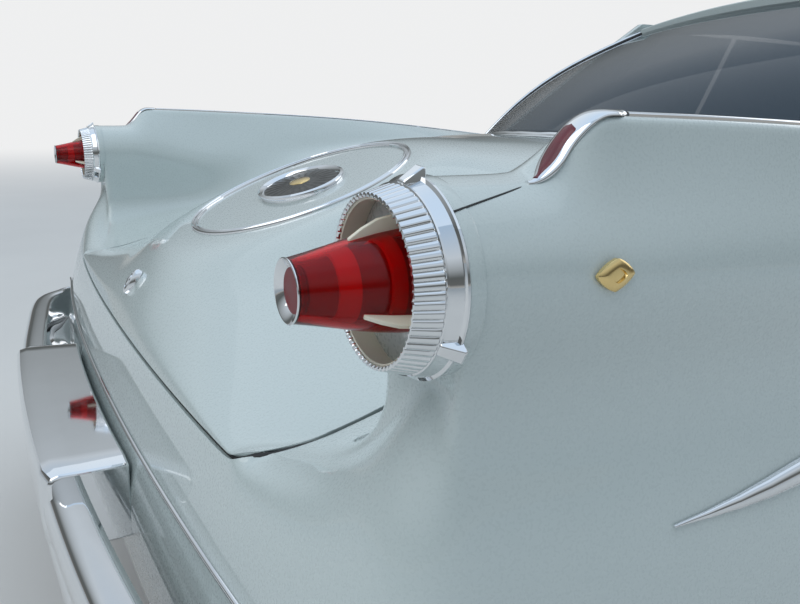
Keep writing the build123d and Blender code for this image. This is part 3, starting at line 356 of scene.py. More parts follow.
class Sheet:
    """Points with names and the faces between them, for sheets with openings."""

    def __init__(self):
        self.names, self.points, self.faces = {}, [], []

    def add(self, name, place):
        if name not in self.names:
            self.names[name] = len(self.points)
            self.points.append(np.array(place, float))
        return self.names[name]

    def face(self, *names):
        ring = [self.names[n] for n in names]
        ring = [n for k, n in enumerate(ring) if n != ring[k - 1]]
        if len(ring) > 2:
            self.faces.append(ring)

    def fill(self, columns, skip):
        """Adds columns of points, named (column, row), and the faces that skip(column, row) lets stand."""
        for i, rows in enumerate(columns):
            for j, p in enumerate(rows):
                self.add((i, j), p)
        for i in range(len(columns) - 1):
            for j in range(len(columns[-1]) - 1):
                if not skip(i, j):
                    self.face((i, j), (i + 1, j), (i + 1, j + 1), (i, j + 1))

    def mirrored(self):
        """This sheet and its mirror image, welded along the middle."""
        points, faces = list(self.points), list(self.faces)
        twin = []
        for p in self.points:
            if abs(p[0]) < 1e-6:
                twin.append(len(twin))
                continue
            twin.append(len(points))
            points.append(p * (-1, 1, 1))
        faces += [[twin[n] for n in face[::-1]] for face in self.faces]
        return points, faces


def grid_faces(rows, columns, close_rows=False, close_columns=False, start=0):
    """Quads over a grid of points stored row by row."""
    faces = []
    for i in range(rows if close_rows else rows - 1):
        for j in range(columns if close_columns else columns - 1):
            a, b = i, (i + 1) % rows
            c, d = j, (j + 1) % columns
            faces.append([start + a * columns + c, start + a * columns + d,
                          start + b * columns + d, start + b * columns + c])
    return faces


def tube_faces(rows, columns):
    """The sides and both ends of a closed tube of points stored row by row."""
    end = (rows - 1) * columns
    ends = [list(range(columns))[::-1], list(range(end, end + columns))]
    return grid_faces(rows, columns, False, True) + ends


def rings(profile, turns, place):
    """Points round a circle for each row of a profile: place(angle, step, *row) gives each."""
    return [place(2 * math.pi * k / turns, k, *row) for row in profile for k in range(turns)]


def turned(points, side):
    """Points on the side given by 1 for left and -1 for right."""
    return [(p[0] * side, p[1], p[2]) for p in points]


def lathe(name, profile, centre, axis, paint, body, slot, turns=96, wave=None, **more):
    """A round piece about an axis, x or y. The profile is (distance along, radius) and closes."""

    def place(a, k, along_axis, r):
        reach = r + (wave(along_axis, r, k) if wave else 0.0)
        u, v = reach * math.cos(a), reach * math.sin(a)
        local = (along_axis, u, v) if axis == "x" else (u, along_axis, v)
        return [c + d for c, d in zip(centre, local)]

    faces = grid_faces(len(profile), turns, True, True)
    return tidy_normals(build(name, rings(profile, turns, place), faces, paint, body, slot, **more))


def tidy_normals(piece):
    """Turns the faces of a closed piece outward."""
    work = bmesh.new()
    work.from_mesh(piece.data)
    bmesh.ops.remove_doubles(work, verts=work.verts, dist=1e-6)
    bmesh.ops.dissolve_degenerate(work, edges=work.edges, dist=1e-7)
    bmesh.ops.recalc_face_normals(work, faces=work.faces)
    work.to_mesh(piece.data)
    work.free()
    piece.data.set_sharp_from_angle(angle=math.radians(38))
    return piece


def sweep(name, path, outs, shape, wide, tall, paint, body, slot):
    """A bar along a path. Its section shape is (across, out), scaled by wide and tall.

    Outs is where its back faces. Outs, wide and tall are given once, or for each point.
    """
    path = np.array(path, float)
    outs = np.broadcast_to(np.array(outs, float), path.shape)
    wide, tall = (np.broadcast_to(size, len(path)) for size in (wide, tall))
    points = []
    for p, t, out, w, h in zip(path, np.gradient(path, axis=0), outs, wide, tall):
        across = np.cross(t, out)
        across /= np.linalg.norm(across)
        out = np.cross(across, t)
        out /= np.linalg.norm(out)
        points += [p + across * a * w + out * b * h for a, b in shape]
    return tidy_normals(build(name, points, tube_faces(len(path), len(shape)), paint, body, slot))


# A bar's section, with a flat foot and a round back. Columns: across, out
HALF_ROUND = [(math.cos(math.pi * k / 8), math.sin(math.pi * k / 8)) for k in range(9)]
HALF_ROUND += [(-1, -0.25), (1, -0.25)]


def prism_faces(n):
    """Both ends and the sides of a prism with n points round each end."""
    sides = [[j, (j + 1) % n, n + (j + 1) % n, n + j] for j in range(n)]
    return [list(range(n)), list(range(n, 2 * n))] + sides


def rounded(a, power):
    """The cosine and sine of a, raised to a power with their signs kept."""
    return [math.copysign(abs(c) ** power, c) for c in (math.cos(a), math.sin(a))]


def pair(name, points, faces, paint, body, slot, replaces=(), *more, **options):
    """A piece and its mirror image. A body or replaced node has {} in place of the side."""
    return [build(f"{name}_{side}", turned(points, sign), faces, paint, body.format(side), slot,
                  [node.format(side) for node in replaces], *more, **options) for side, sign in SIDES]


def bar_pair(name, path, outs, wide, tall, paint=CHROME, body="car", slot="bright_chrome",
             shape=HALF_ROUND):
    """A bar and its mirror image, as sweep makes them."""
    outs = np.broadcast_to(np.array(outs, float), (len(path), 3))
    for side, sign in SIDES:
        sweep(f"{name}_{side}", turned(path, sign), turned(outs, sign), shape, wide, tall, paint,
              body.format(side), slot)


# Body sides

UPPER = (2.5, 3, 3.5, 4, 4.5, 5, 5.5, 5.9, 6)
INNER = (10, 10.15, 10.5, 11, 11.5, 12, 12.5, 13, 13.35, 13.7, 14)
LOW_ROWS, MID_ROWS = 2, 6
NECK_ROW = LOW_ROWS + MID_ROWS + 2
# Finish of sheets: wall, levels of subdivision, radius of edges
FENDER_SHEET, DOOR_SHEET, DECK_SHEET = (0.008, 2, 0.0012), (0.006, 2, 0.0012), (0.010, 2, 0.0012)
HOOD_SHEET, ROOF_SHEET, THIN_SHEET = (0.012, 2, 0.0012), (0.026, 2, 0.004), (0.003, 1)


def stations(y0, y1, centre=None, step=0.07, extra=()):
    """Places of the columns between y0 and y1, closer together round a wheel arch."""
    places = {round(y0, 5), round(y1, 5), *extra}
    if centre is not None:
        places |= {round(centre - ARCH_R * math.cos(math.radians(k)), 5) for k in range(0, 181, 12)}
    places = sorted(p for p in places if y0 - 1e-6 <= p <= y1 + 1e-6)
    filled = [places[0]]
    for a, b in zip(places, places[1:]):
        n = max(1, round((b - a) / step))
        filled += [round(a + (b - a) * k / n, 5) for k in range(1, n + 1)]
    return filled


def arch_z(y, centre, top, radius=ARCH_R):
    """The edge of a wheel opening at y, or its middle height beside it."""
    if centre is None or abs(y - centre) >= radius - 1e-6:
        return TYRE_R
    return min(TYRE_R + math.sqrt(radius**2 - (y - centre) ** 2), top)


def side_rows(y, bottom, low, last=None):
    """The points of one column of the body side, from its foot at bottom up.

    Low is where the middle rows start, and last is the height where a column stops short.
    """
    low_top = max(TYRE_R, bottom + 0.02)
    low = max(low, low_top)
    rows = [point(y, outer_at(y, bottom + (low_top - bottom) * k / LOW_ROWS)) for k in range(LOW_ROWS)]
    if last is not None:
        steps = MID_ROWS + 1
        return rows + [point(y, outer_at(y, low + (last - low) * k / steps)) for k in range(steps + 1)]
    rows += [point(y, outer_at(y, low + (waist_z(y) - low) * k / MID_ROWS)) for k in range(MID_ROWS)]
    return rows + [point(y, 2.0)] + [point(y, t) for t in UPPER]


def leaning(y, first, last, lean_first, lean_last, reach=0.25):
    """How far a column at y follows the slant of the panel's edges, for each metre of width."""
    head = 1 - ramp(y, first, first + reach) if lean_first else 0
    foot = ramp(y, last - reach, last) if lean_last else 0
    return LEAN * (head + foot)


def slanted(rows, y, lean):
    """The column's points moved along the slant of a door edge."""
    return [np.array([p[0], y + (p[0] - 1.0) * lean, p[2]]) for p in rows] if lean else rows


def nose_foot(y):
    """The height of the front fender's lower edge, which rises towards the bumper."""
    return SILL_Z + 0.150 * ramp(-y, 2.400, -NOSE_Y)


def tail_foot(y):
    """The height of the quarter's lower edge, which rises towards the rear bumper."""
    return SILL_Z + 0.108 * ramp(y, 1.780, FIN_END_Y)


def over_wheel(ys, i, axle):
    """Whether the faces after column i lie over the wheel at axle."""
    return any(abs(y - axle) < ARCH_R - 1e-6 for y in ys[i : i + 2])


def fender_skin():
    """The left front fender's outer sheet."""
    sheet = Sheet()
    ys = stations(NOSE_Y, FRONT_DOOR_Y - GAP, FRONT_AXLE_Y)
    columns = [side_rows(y, nose_foot(y), arch_z(y, FRONT_AXLE_Y, FRONT_ARCH_TOP)) for y in ys]
    columns = [rows + [point(y, t) for t in INNER] for y, rows in zip(ys, columns)]
    sheet.fill(columns, lambda i, j: j < LOW_ROWS and over_wheel(ys, i, FRONT_AXLE_Y))
    return sheet


def door_skin(first, last, slant_first, slant_last):
    """The outer sheet of a left door, over its top to the inner side."""
    ys = stations(first, last)
    if last > DOOR_CUT_Y:
        ys = stations(first, last, extra=(round(DOOR_CUT_Y, 5),))
        ys = sorted(set(ys) | {round(DOOR_CUT_Y + d, 5) for d in (0.004, 0.016, 0.04, 0.08, 0.13)})
    columns = []
    for y in ys:
        low = arch_z(y, REAR_AXLE_Y, math.inf, DOOR_ARCH_R)
        rows = side_rows(y, DOOR_BOTTOM_Z, low)
        if low > waist_z(y) - 0.02:
            rows = rows[:LOW_ROWS] + [point(y, outer_at(y, low + 0.004 * k)) for k in range(MID_ROWS + 1)]
            rest = np.linspace(outer_at(y, low + 0.004 * MID_ROWS), 6, len(UPPER) + 1)[1:]
            rows += [point(y, t) for t in rest]
        crest = rows[-1]
        rows += [crest - (inward, 0, 0) for inward in (0.004, 0.05, crest[0] - INNER_X)]
        columns.append(slanted(rows, y, leaning(y, first, last, slant_first, slant_last)))
    sheet = Sheet()
    sheet.fill(columns, lambda i, j: j < LOW_ROWS and ys[i + 1] > DOOR_CUT_Y + 1e-6)
    return sheet


def quarter_skin():
    """The left rear quarter with fin and lamp pod, and its half of the tail, as one sheet."""
    lip = ARCH_R + DOGLEG
    first, door = REAR_AXLE_Y - lip + 0.004, REAR_DOOR_Y + GAP
    fin = [round(2.44 + 0.011 * k, 5) for k in range(9)]
    ys = stations(first, FIN_END_Y, REAR_AXLE_Y, 0.07, (round(door, 5), *fin, 2.575))
    top_row = NECK_ROW - 1
    columns = []
    for y in ys:
        low = arch_z(y, REAR_AXLE_Y, REAR_ARCH_TOP)
        if y < door - 1e-6:
            last = TYRE_R + math.sqrt(lip**2 - (REAR_AXLE_Y - y) ** 2)
            columns.append(side_rows(y, tail_foot(y), low, last))
            continue
        rows = side_rows(y, tail_foot(y), low) + [point(y, t) for t in INNER]
        slope = LEAN * (1 - ramp(y, door, door + 0.25))
        columns.append(rows[:top_row] + slanted(rows[top_row:], y, slope))
    sheet = Sheet()
    sheet.fill(columns, lambda i, j: (j < LOW_ROWS and over_wheel(ys, i, REAR_AXLE_Y))
               or (j >= top_row and ys[i] < door - 1e-6))
    tail_patch(sheet, len(ys) - 1)
    return sheet


# Where the rows of the tail end beside the boot lid. Columns: row, y, z
LID_SIDE = ((7, 2684, 679), (8, 2674, 684), (9, 2663, 688), (10, 2650, 690))
# How far those rows have fallen at the columns before it, and how far they stand in under the lamp
FALL = {8: (0.35, 0.62, 0.84, 1.0), 9: (0.48, 0.74, 0.90, 1.0), 10: (0.58, 0.78, 0.91, 1.0)}
RECESS = {8: 0.006, 9: 0.026, 10: 0.040}
# The tail's columns: angles round its corner, shares of the way to the lid, and x in the middle
CORNER_ANGLES = (28, 58, 90)
REAR_COLUMNS = (0.25, 0.5, 0.75, 1.0)
REAR_START = 1 + len(CORNER_ANGLES)
MIDDLE_START = REAR_START + len(REAR_COLUMNS)
LID_ROW, LID_COLUMN = 7, MIDDLE_START - 1
MIDDLE_X = (0.643, 0.624, 0.54, 0.43, 0.32, 0.21, 0.105, 0.0)
# The height of the tail's lower edge, and the angles of points round the lower half of the lamp pod
TAIL_FOOT_Z, POD_ANGLES = 0.330, (-62, -90, -118, -140, -162)
# The rounded lower corners of the boot lid: middle x, radius across and up
LID_CORNER_X, LID_CORNER_R, LID_CORNER_UP = 0.621, 0.034, 0.0340


def rear_y(x, z, edge_x):
    """The tail's rear face at x and z; edge_x is where its corner begins."""
    corner, middle = tail_table(z / MM) * MM
    return middle - (middle - corner) * min(1.0, x / edge_x) ** 2.2


def tail_patch(sheet, last):
    """Carries the side's rows round the rear corner to the boot lid and the middle of the car."""
    lid_side = {row: (y * MM, z * MM) for row, y, z in LID_SIDE}
    for row in range(NECK_ROW + 1):
        x0, y0, z0 = sheet.points[sheet.names[(last, row)]]
        corner = tail_table(z0 / MM)[0] * MM - RECESS.get(row, 0.0)
        turn = 0.075 if row <= LID_ROW else 0.060
        edge_x = x0 - turn
        for c, angle in enumerate(CORNER_ANGLES, 1):
            a = math.radians(angle)
            sheet.add(("t", c, row), (x0 - turn * (1 - math.cos(a)), y0 + (corner - y0) * math.sin(a), z0))
        end_y, end_z = lid_side.get(row, (None, z0 if row else TAIL_FOOT_Z))
        for k, share in enumerate(REAR_COLUMNS):
            x = edge_x + (LID_X + GAP - edge_x) * share
            fall = FALL[row][k] if row in FALL else 1 - (1 - share) ** 1.3
            z = z0 + (end_z - z0) * fall
            y = corner + (end_y - corner) * share if row > LID_ROW else rear_y(x, z, edge_x)
            sheet.add(("t", REAR_START + k, row), (x, y, z))
        if row <= LID_ROW:
            for c, x in enumerate(MIDDLE_X, MIDDLE_START):
                sheet.add(("t", c, row), (x, rear_y(x, end_z, edge_x), end_z))
    name = lambda c, r: ("t", c, r) if c else (last, r)
    for row in range(NECK_ROW):
        for c in range(LID_COLUMN + (len(MIDDLE_X) if row < LID_ROW else 0)):
            sheet.face(name(c, row), name(c + 1, row), name(c + 1, row + 1), name(c, row + 1))
    for k in (1, 2):
        a = math.radians(30 * k)
        x = LID_CORNER_X + 0.5 * GAP + LID_CORNER_R * math.cos(a)
        sheet.add(("a", k), lid_point(x, LID_CORNER_UP * (1 - math.sin(a)) - 0.9 * GAP))
    side = [("t", LID_COLUMN, row) for row in (10, 9, 8, 7)]
    sheet.face(side[0], side[1], side[2], ("a", 1))
    sheet.face(("a", 1), side[2], side[3], ("a", 2))
    sheet.face(("a", 2), side[3], ("t", MIDDLE_START, LID_ROW), ("t", MIDDLE_START + 1, LID_ROW))
    for k, angle in enumerate(POD_ANGLES):
        a = math.radians(angle)
        sheet.add(("p", k), (LAMP_X + POD_R * math.cos(a), FIN_END_Y, LAMP_Z + POD_R * math.sin(a)))
    foot = NECK_ROW + len(UPPER) + 6
    sheet.face(("p", 2), (last, foot), (last, foot - 1), ("p", 3))
    sheet.face(("p", 3), (last, foot - 1), (last, foot - 2), ("p", 4))
    ring = [(last, NECK_ROW + 1), ("p", 0), ("p", 1), ("p", 2)] + [(last, foot + k) for k in range(4)]
    lower = [name(c, NECK_ROW) for c in range(LID_COLUMN + 1)]
    for a, b, c, d in zip(lower, lower[1:], ring[1:], ring):
        sheet.face(a, b, c, d)


def outside(centre):
    """Away from the middle of the car, for turning sheets."""
    return (centre[0] * 1.5, max(0.0, centre[1] - 2.3) * 4, max(0.2, centre[2] - 0.4))


def body_sides():
    """The fenders, the doors' skins and the quarters with the tail."""
    fender = fender_skin()
    pair("front_fender_skin", fender.points, fender.faces, [PAINT, UNDERSIDE], "car", "body_paint",
         ["front_fender_{}"], outside, *FENDER_SHEET)
    for name, *edges in (
        ("front_door", FRONT_DOOR_Y, MID_DOOR_Y - GAP, False, True),
        ("rear_door", MID_DOOR_Y, REAR_DOOR_Y, True, True),
    ):
        skin = door_skin(*edges)
        pair(name + "_skin", skin.points, skin.faces, PAINT, name + "_{}_body", "body_paint", [name + "_{}"],
             outside, *DOOR_SHEET)
    points, faces = quarter_skin().mirrored()
    build("quarters_and_tail", points, faces, [PAINT, UNDERSIDE], "car", "body_paint",
          ["quarter_panel_left", "quarter_panel_right", "tail_panel"], outside, *FENDER_SHEET)


# Deck, hood and roof

deck_rows = Curve([(-r[0], *r[1:]) for r in DECK[:0:-1]] + list(DECK))
# The rows of the boot lid, from its front edge over the ring to its ridge
LID_YS = (DECK_FRONT_Y + GAP, 1.90, 1.98, 2.06, 2.13, 2.19, 2.25, 2.30, RING_Y,
          2.41, 2.46, 2.51, 2.56, 2.60, 2.635)
# The trim boards of the boot: their ends, x at the foot and how far it grows, foot, and top under the deck
BOARD_FRONT_Y, BOARD_REAR_Y, BOARD_X, BOARD_LEAN = 1.625, 2.580, 0.6425, 0.010
BOARD_FOOT, BOARD_DROP = 0.455, 0.032


@functools.lru_cache(None)
def deck_line(x):
    """The heights of the deck along the car at x."""
    return Curve(np.column_stack([DECK_Y, deck_rows(x / MM)]))


def deck_z(x, y):
    """The height of the deck, raised into a round under the ring and a ridge behind it."""
    base = float(deck_line(round(x, 5))(y / MM)[0]) * MM
    tilt = math.radians(RING_TILT)
    plane = RING_Z - (y - RING_Y) * math.tan(tilt)
    away = math.hypot(x, (y - RING_Y) / math.cos(tilt))
    share = 1 - ramp(away, RING_R + 0.012, RING_R + 0.17)
    return base + (plane - base) * share


def lid_path(x):
    """The boot lid's line along the car at x, from its front edge to its lower rear edge."""
    rear = rear_y(abs(x), LID_EDGE_Z, 0.87)
    points = [(y, deck_z(x, y)) for y in LID_YS]
    roll = 0.35 * (points[-1][1] - LID_EDGE_Z)
    points += [(rear - 0.6 * roll, LID_EDGE_Z + roll), (rear, LID_EDGE_Z)]
    return points


def lid_point(x, up):
    """A point of the lid's surface at x, up from its lower edge along the surface."""
    line, far = along(lid_path(x))
    return np.array([x, *line(far[-1] - up)])


def lid_foot(x):
    """How far the lid's rounded corner stays up from its lower edge at x."""
    share = min(1.0, max(0.0, (abs(x) - LID_CORNER_X) / LID_CORNER_R))
    return LID_CORNER_UP * (1 - math.sqrt(1 - share**2))


def deck():
    """The boot lid with its seal, and the panel between it and the rear window."""
    half = [LID_CORNER_X * k / 17 for k in range(18)]
    half += [LID_CORNER_X + LID_CORNER_R * math.sin(math.radians(k)) for k in range(15, 91, 15)]
    xs = [-x for x in half[:0:-1]] + half
    points = []
    for x in xs:
        line, far = along(lid_path(x))
        bend, whole = far[9], far[-1]
        places = list(far[:-1]) + [far[-2] + (whole - far[-2]) * 0.5, whole]
        squeeze = (whole - lid_foot(x) - bend) / (whole - bend)
        points += [(x, *line(s if s < bend else bend + (s - bend) * squeeze)) for s in places]
    lid_seal()
    faces = grid_faces(len(xs), len(points) // len(xs))
    build("boot_lid_skin", points, faces, [PAINT, UNDERSIDE], "boot_lid", "body_paint", ["deck_lid"],
          lambda c: (0, 0.3, 1), *DECK_SHEET)
    points = []
    for i in range(-12, 13):
        x = LID_X * i / 12
        start = 1.405 + 0.235 * (1 - (x / 0.69) ** 2)
        for k in range(9):
            y = start + (DECK_FRONT_Y - GAP - start) * k / 8
            points.append((x, y, deck_z(x, y)))
    build("deck_skin", points, grid_faces(25, 9), [PAINT, UNDERSIDE], "car", "body_paint", ["deck_panel"],
          lambda c: (0, 0, 1), *DECK_SHEET)


def lid_seal():
    """The rubber that shows as a dark line round the boot lid."""
    half = [np.array([LID_X + 0.003, y, deck_z(LID_X, y)]) for y in np.linspace(1.84, 2.58, 24)]
    for k in range(0, 91, 10):
        a = math.radians(k)
        x = LID_CORNER_X + 0.003 + LID_CORNER_R * math.cos(a)
        half.append(lid_point(x, LID_CORNER_UP * (1 - math.sin(a))))
    half += [lid_point(LID_CORNER_X * (1 - k / 12), -0.002) for k in range(1, 13)]
    path = np.array(half + [p * (-1, 1, 1) for p in half[-2::-1]])
    outs = np.array([(0, ramp(p[1], 2.5, 2.7) * 1.4, 1.0) for p in path])
    outs /= np.linalg.norm(outs, axis=1)[:, None]
    sweep("boot_lid_seal", path - outs * 0.0098, outs, HALF_ROUND, 0.0052, 0.0045, RUBBER, "car",
          "tyre_rubber")


def boot_boards():
    """The upright trim boards that close the boot from the wheels and the quarters."""
    points = []
    for k in range(13):
        y = BOARD_FRONT_Y + (BOARD_REAR_Y - BOARD_FRONT_Y) * k / 12
        high = deck_z(LID_X, max(y, DECK_FRONT_Y)) - BOARD_DROP - BOARD_FOOT
        points += [(BOARD_X + BOARD_LEAN * j / 5, y, BOARD_FOOT + high * j / 5) for j in range(6)]
    pair("boot_board", points, grid_faces(13, 6), CARPET, "car", "seat_cloth", (), lambda c: (-c[0], 0, 0),
         0.004, 1)


def crowned(table, half, count, y0, y1, steps):
    """A grid over a crowned sheet. The table has y, middle z and side z."""
    line = Curve(table)
    points = []
    for k in range(steps + 1):
        y = y0 + (y1 - y0) * k / steps
        middle, side = line(y / MM) * MM
        for i in range(-count, count + 1):
            share = i / count
            points.append((half * share, y, side + (middle - side) * (1 - share**2)))
    return points, grid_faces(steps + 1, 2 * count + 1)


def cowl_z(x):
    """The height of the cowl at x."""
    return COWL_Z + COWL_CROWN * (1 - min(1.0, abs(x) / COWL_X) ** 2)


def hood():
    """The hood, and the cowl between it and the windscreen."""
    points, faces = crowned(HOOD, HOOD_X, 12, -2.652, COWL_Y - GAP, 26)
    build("hood_skin", points, faces, [PAINT, UNDERSIDE], "hood", "body_paint", ["hood_panel"],
          lambda c: (0, 0, 1), *HOOD_SHEET)
    points = []
    for k in range(9):
        for i in range(-12, 13):
            x = COWL_X * i / 12
            back = -0.868 + 0.21 * (i / 12) ** 2
            points.append((x, COWL_Y + (back - COWL_Y) * k / 8, cowl_z(x)))
    build("cowl_skin", points, grid_faces(9, 25), [PAINT, UNDERSIDE], "car", "body_paint", ["cowl_panel"],
          lambda c: (0, 0, 1), *HOOD_SHEET)


def nose():
    """The returns of the fenders round the nose, the panel under the grille and the header over it."""
    foot = outer_at(NOSE_Y, nose_foot(NOSE_Y))
    places = [foot + (1.5 - foot) * k / 3 for k in range(4)]
    places += [2, 2.5, 3, 3.5, 4, 4.5, 5, 5.5, 5.8, 6, 10, 10.3, 11, 12, 13, 14]
    edge = np.array([point(NOSE_Y, t) for t in places])
    middle = np.array([0.800, NOSE_Y, 0.560])
    loops = []
    # Distance in from the fender's edge, and back from the nose
    for inset, back in ((0.0, 0.0), (0.002, -0.005), (0.009, -0.008), (0.020, -0.004), (0.030, 0.006),
                        (0.058, 0.040), (0.105, 0.046)):
        for p in edge:
            toward = middle - p
            toward *= inset / np.linalg.norm(toward)
            loops.append((p[0] + toward[0], NOSE_Y + back, p[2] + toward[2]))
    pair("fender_return", loops, grid_faces(7, len(places)), PAINT, "car", "body_paint", (),
         lambda c: (0, -1, 0), *THIN_SHEET)
    points = []
    for k in range(13):
        x = -0.90 + 1.80 * k / 12
        bow = 0.012 * (1 - (x / 0.9) ** 2)
        points += [(x, y - bow, z) for y, z in ((-2.700, 0.455), (-2.706, 0.420), (-2.712, 0.360),
                                                (-2.700, 0.300), (-2.665, 0.255), (-2.600, 0.245))]
    build("front_valance", points, grid_faces(13, 6), PAINT, "car", "body_paint", (), lambda c: (0, -1, 0),
          *THIN_SHEET)
    bow = lambda x: 0.032 * (x / HOOD_X) ** 2
    points, top = [], []
    for k in range(25):
        x = 0.790 * (k - 12) / 12
        z = 0.829 - bow(x)
        points += [(x, *row) for row in (
            (-2.6585, z), (-2.676, z - 0.0015), (-2.694, z - 0.007), (-2.706, z - 0.017),
            (-2.711, z - 0.030), (-2.710, 0.775), (-2.700, 0.755))]
        top.append((x * 0.94, -2.709, 0.810 - bow(x * 0.94)))
    build("grille_header", points, grid_faces(25, 7), PAINT, "car", "body_paint", (), lambda c: (0, -1, 1),
          *THIN_SHEET)
    sweep("header_moulding", top, (0, -0.8, 0.6), HALF_ROUND, 0.009, 0.008, CHROME, "car", "bright_chrome")


def roof_point(y, share):
    """A point of the roof at y, a share of the way from its middle to its edge."""
    x, edge, top = roof_table(y / MM) * MM
    bend = 1 - abs(share) ** 2.2
    return (x * share, y, edge + (top - edge) * bend)


def roof():
    """The roof and its four posts."""
    points = [roof_point(-0.56 + 1.44 * k / 24, i / 16) for k in range(25) for i in range(-16, 17)]
    build("roof_skin", points, grid_faces(25, 33), [PAINT, LINER], "car", "body_paint", ["roof_panel"],
          lambda c: (0, 0, 1), *ROOF_SHEET)
    steps, turns = 12, 16
    # Columns: name, foot, head, and the size across and along at the foot and at the head
    for name, low, high, size_low, size_high in (
        ("front_post", (0.768, -0.655, 0.898), (0.610, -0.468, 1.362), (0.038, 0.060), (0.036, 0.050)),
        ("rear_post", (0.776, 1.225, 0.925), (0.594, 0.800, 1.350), (0.034, 0.300), (0.034, 0.150)),
    ):
        points = []
        for k in range(steps + 1):
            t = k / steps
            x, y, z = np.array(low) * (1 - t) + np.array(high) * t
            x += 0.020 * math.sin(math.pi * t)
            w, d = (np.array(size_low) * (1 - t) + np.array(size_high) * t) / 2
            for q in range(turns):
                u, v = rounded(2 * math.pi * q / turns, 0.5)
                points.append((x + w * u, y + d * v, z))
        for piece in pair(name, points, tube_faces(steps + 1, turns), PAINT, "car", "body_paint"):
            tidy_normals(piece)


def rockers():
    """The strips of body side under the doors."""
    ys = stations(FRONT_DOOR_Y, REAR_AXLE_Y - ARCH_R - DOGLEG - 0.002)
    heights_of = (SILL_Z, 0.240, 0.260, 0.280, 0.299)
    points = []
    for y in ys:
        column = [point(y, outer_at(y, z)) for z in heights_of]
        points += column + [column[-1] - (0.012, 0, 0), column[-1] - (0.100, 0, 0)]
    pair("rocker", points, grid_faces(len(ys), len(heights_of) + 2), [PAINT, UNDERSIDE], "car", "body_paint",
         (), outside, 0.006, 1, 0.001)


def door_core(first, last, slant_first, slant_last):
    """The closed body of a left door inside its skin: loops of points, from its foot round."""
    sheet = door_skin(first, last, slant_first, slant_last)
    columns = {}
    for (i, j), n in sheet.names.items():
        columns.setdefault(i, {})[j] = sheet.points[n]
    loops = []
    for i in sorted(columns):
        rows = [columns[i][j] for j in sorted(columns[i])][:-2]
        if rows[0][1] > DOOR_CUT_Y + 0.001 and last > DOOR_CUT_Y:
            rows[:LOW_ROWS] = [rows[LOW_ROWS]] * LOW_ROWS
        outer = [p - (0.007, 0, 0.004 if k == len(rows) - 1 else 0) for k, p in enumerate(rows)]
        lean = lean_of(i, len(columns), slant_first, slant_last)
        loops.append(outer + [np.array([INNER_X, p[1] + (INNER_X - p[0]) * lean, p[2]]) for p in outer[::-1]])
    return loops


def lean_of(i, count, slant_first, slant_last):
    """The slant of a door's column, which only its end columns have in full."""
    if (i == 0 and slant_first) or (i == count - 1 and slant_last):
        return LEAN
    return 0.0


def doors():
    """The cores of the doors with their inner trim, handles and armrests."""
    proud = (0.0, 0.010, 0.012, 0.008, 0.008, 0.012, 0.012, 0.002)
    wide = (0.020, 0.032, 0.036, 0.038, 0.038, 0.038, 0.036, 0.032, 0.020)
    # Columns: name, front edge, rear edge, whether the front edge slants, foot and top of the trim
    for name, first, last, slant, low, top in (
        ("front_door", FRONT_DOOR_Y + 0.006, MID_DOOR_Y - GAP - 0.006, False, 0.36, 0.885),
        ("rear_door", MID_DOOR_Y + 0.006, REAR_DOOR_Y - 0.006, True, 0.62, 0.890),
    ):
        body = name + "_{}_body"
        loops = door_core(first, last, slant, True)
        n = len(loops[0])
        points = [p for loop in loops for p in loop]
        faces = grid_faces(len(loops), n, False, True)
        faces += [list(range(n)), list(range(len(points) - n, len(points)))]
        for piece in pair(name + "_core", points, faces, PAINT, body, "body_paint"):
            tidy_normals(piece)
        y0, y1 = first + 0.05, last - 0.07
        rows = (low, low + 0.02, 0.64, 0.66, 0.76, 0.78, top - 0.01, top)
        trim = []
        for k in range(13):
            y = y0 + (y1 - y0) * k / 12
            edge = 0.0 if 0 < k < 12 else -0.008
            trim += [(INNER_X - o - edge * (o > 0), y, z) for z, o in zip(rows, proud)]
        pair(name + "_trim", trim, grid_faces(13, len(rows)), VINYL, body, "seat_cloth", (),
             lambda c: (-c[0], 0, 0), 0.004, 1, 0.001)
        path = [(INNER_X - 0.045, y0 + 0.16 + 0.05 * k, 0.700) for k in range(9)]
        bar_pair(name + "_armrest", path, (0, 0, 1), wide, 0.022, VINYL, body, "seat_cloth")
        grip = []
        for k in range(13):
            y = last - 0.20 + 0.14 * k / 12
            x, _, z = point(y, outer_at(y, 0.800))
            grip.append((x + 0.006 + 0.018 * math.sin(math.pi * k / 12) ** 0.5, y, z))
        bar_pair(name + "_handle", grip, (1, 0, 0), 0.011, 0.008, body=body)


# Lamps, rings and chrome

FLUTES = 64


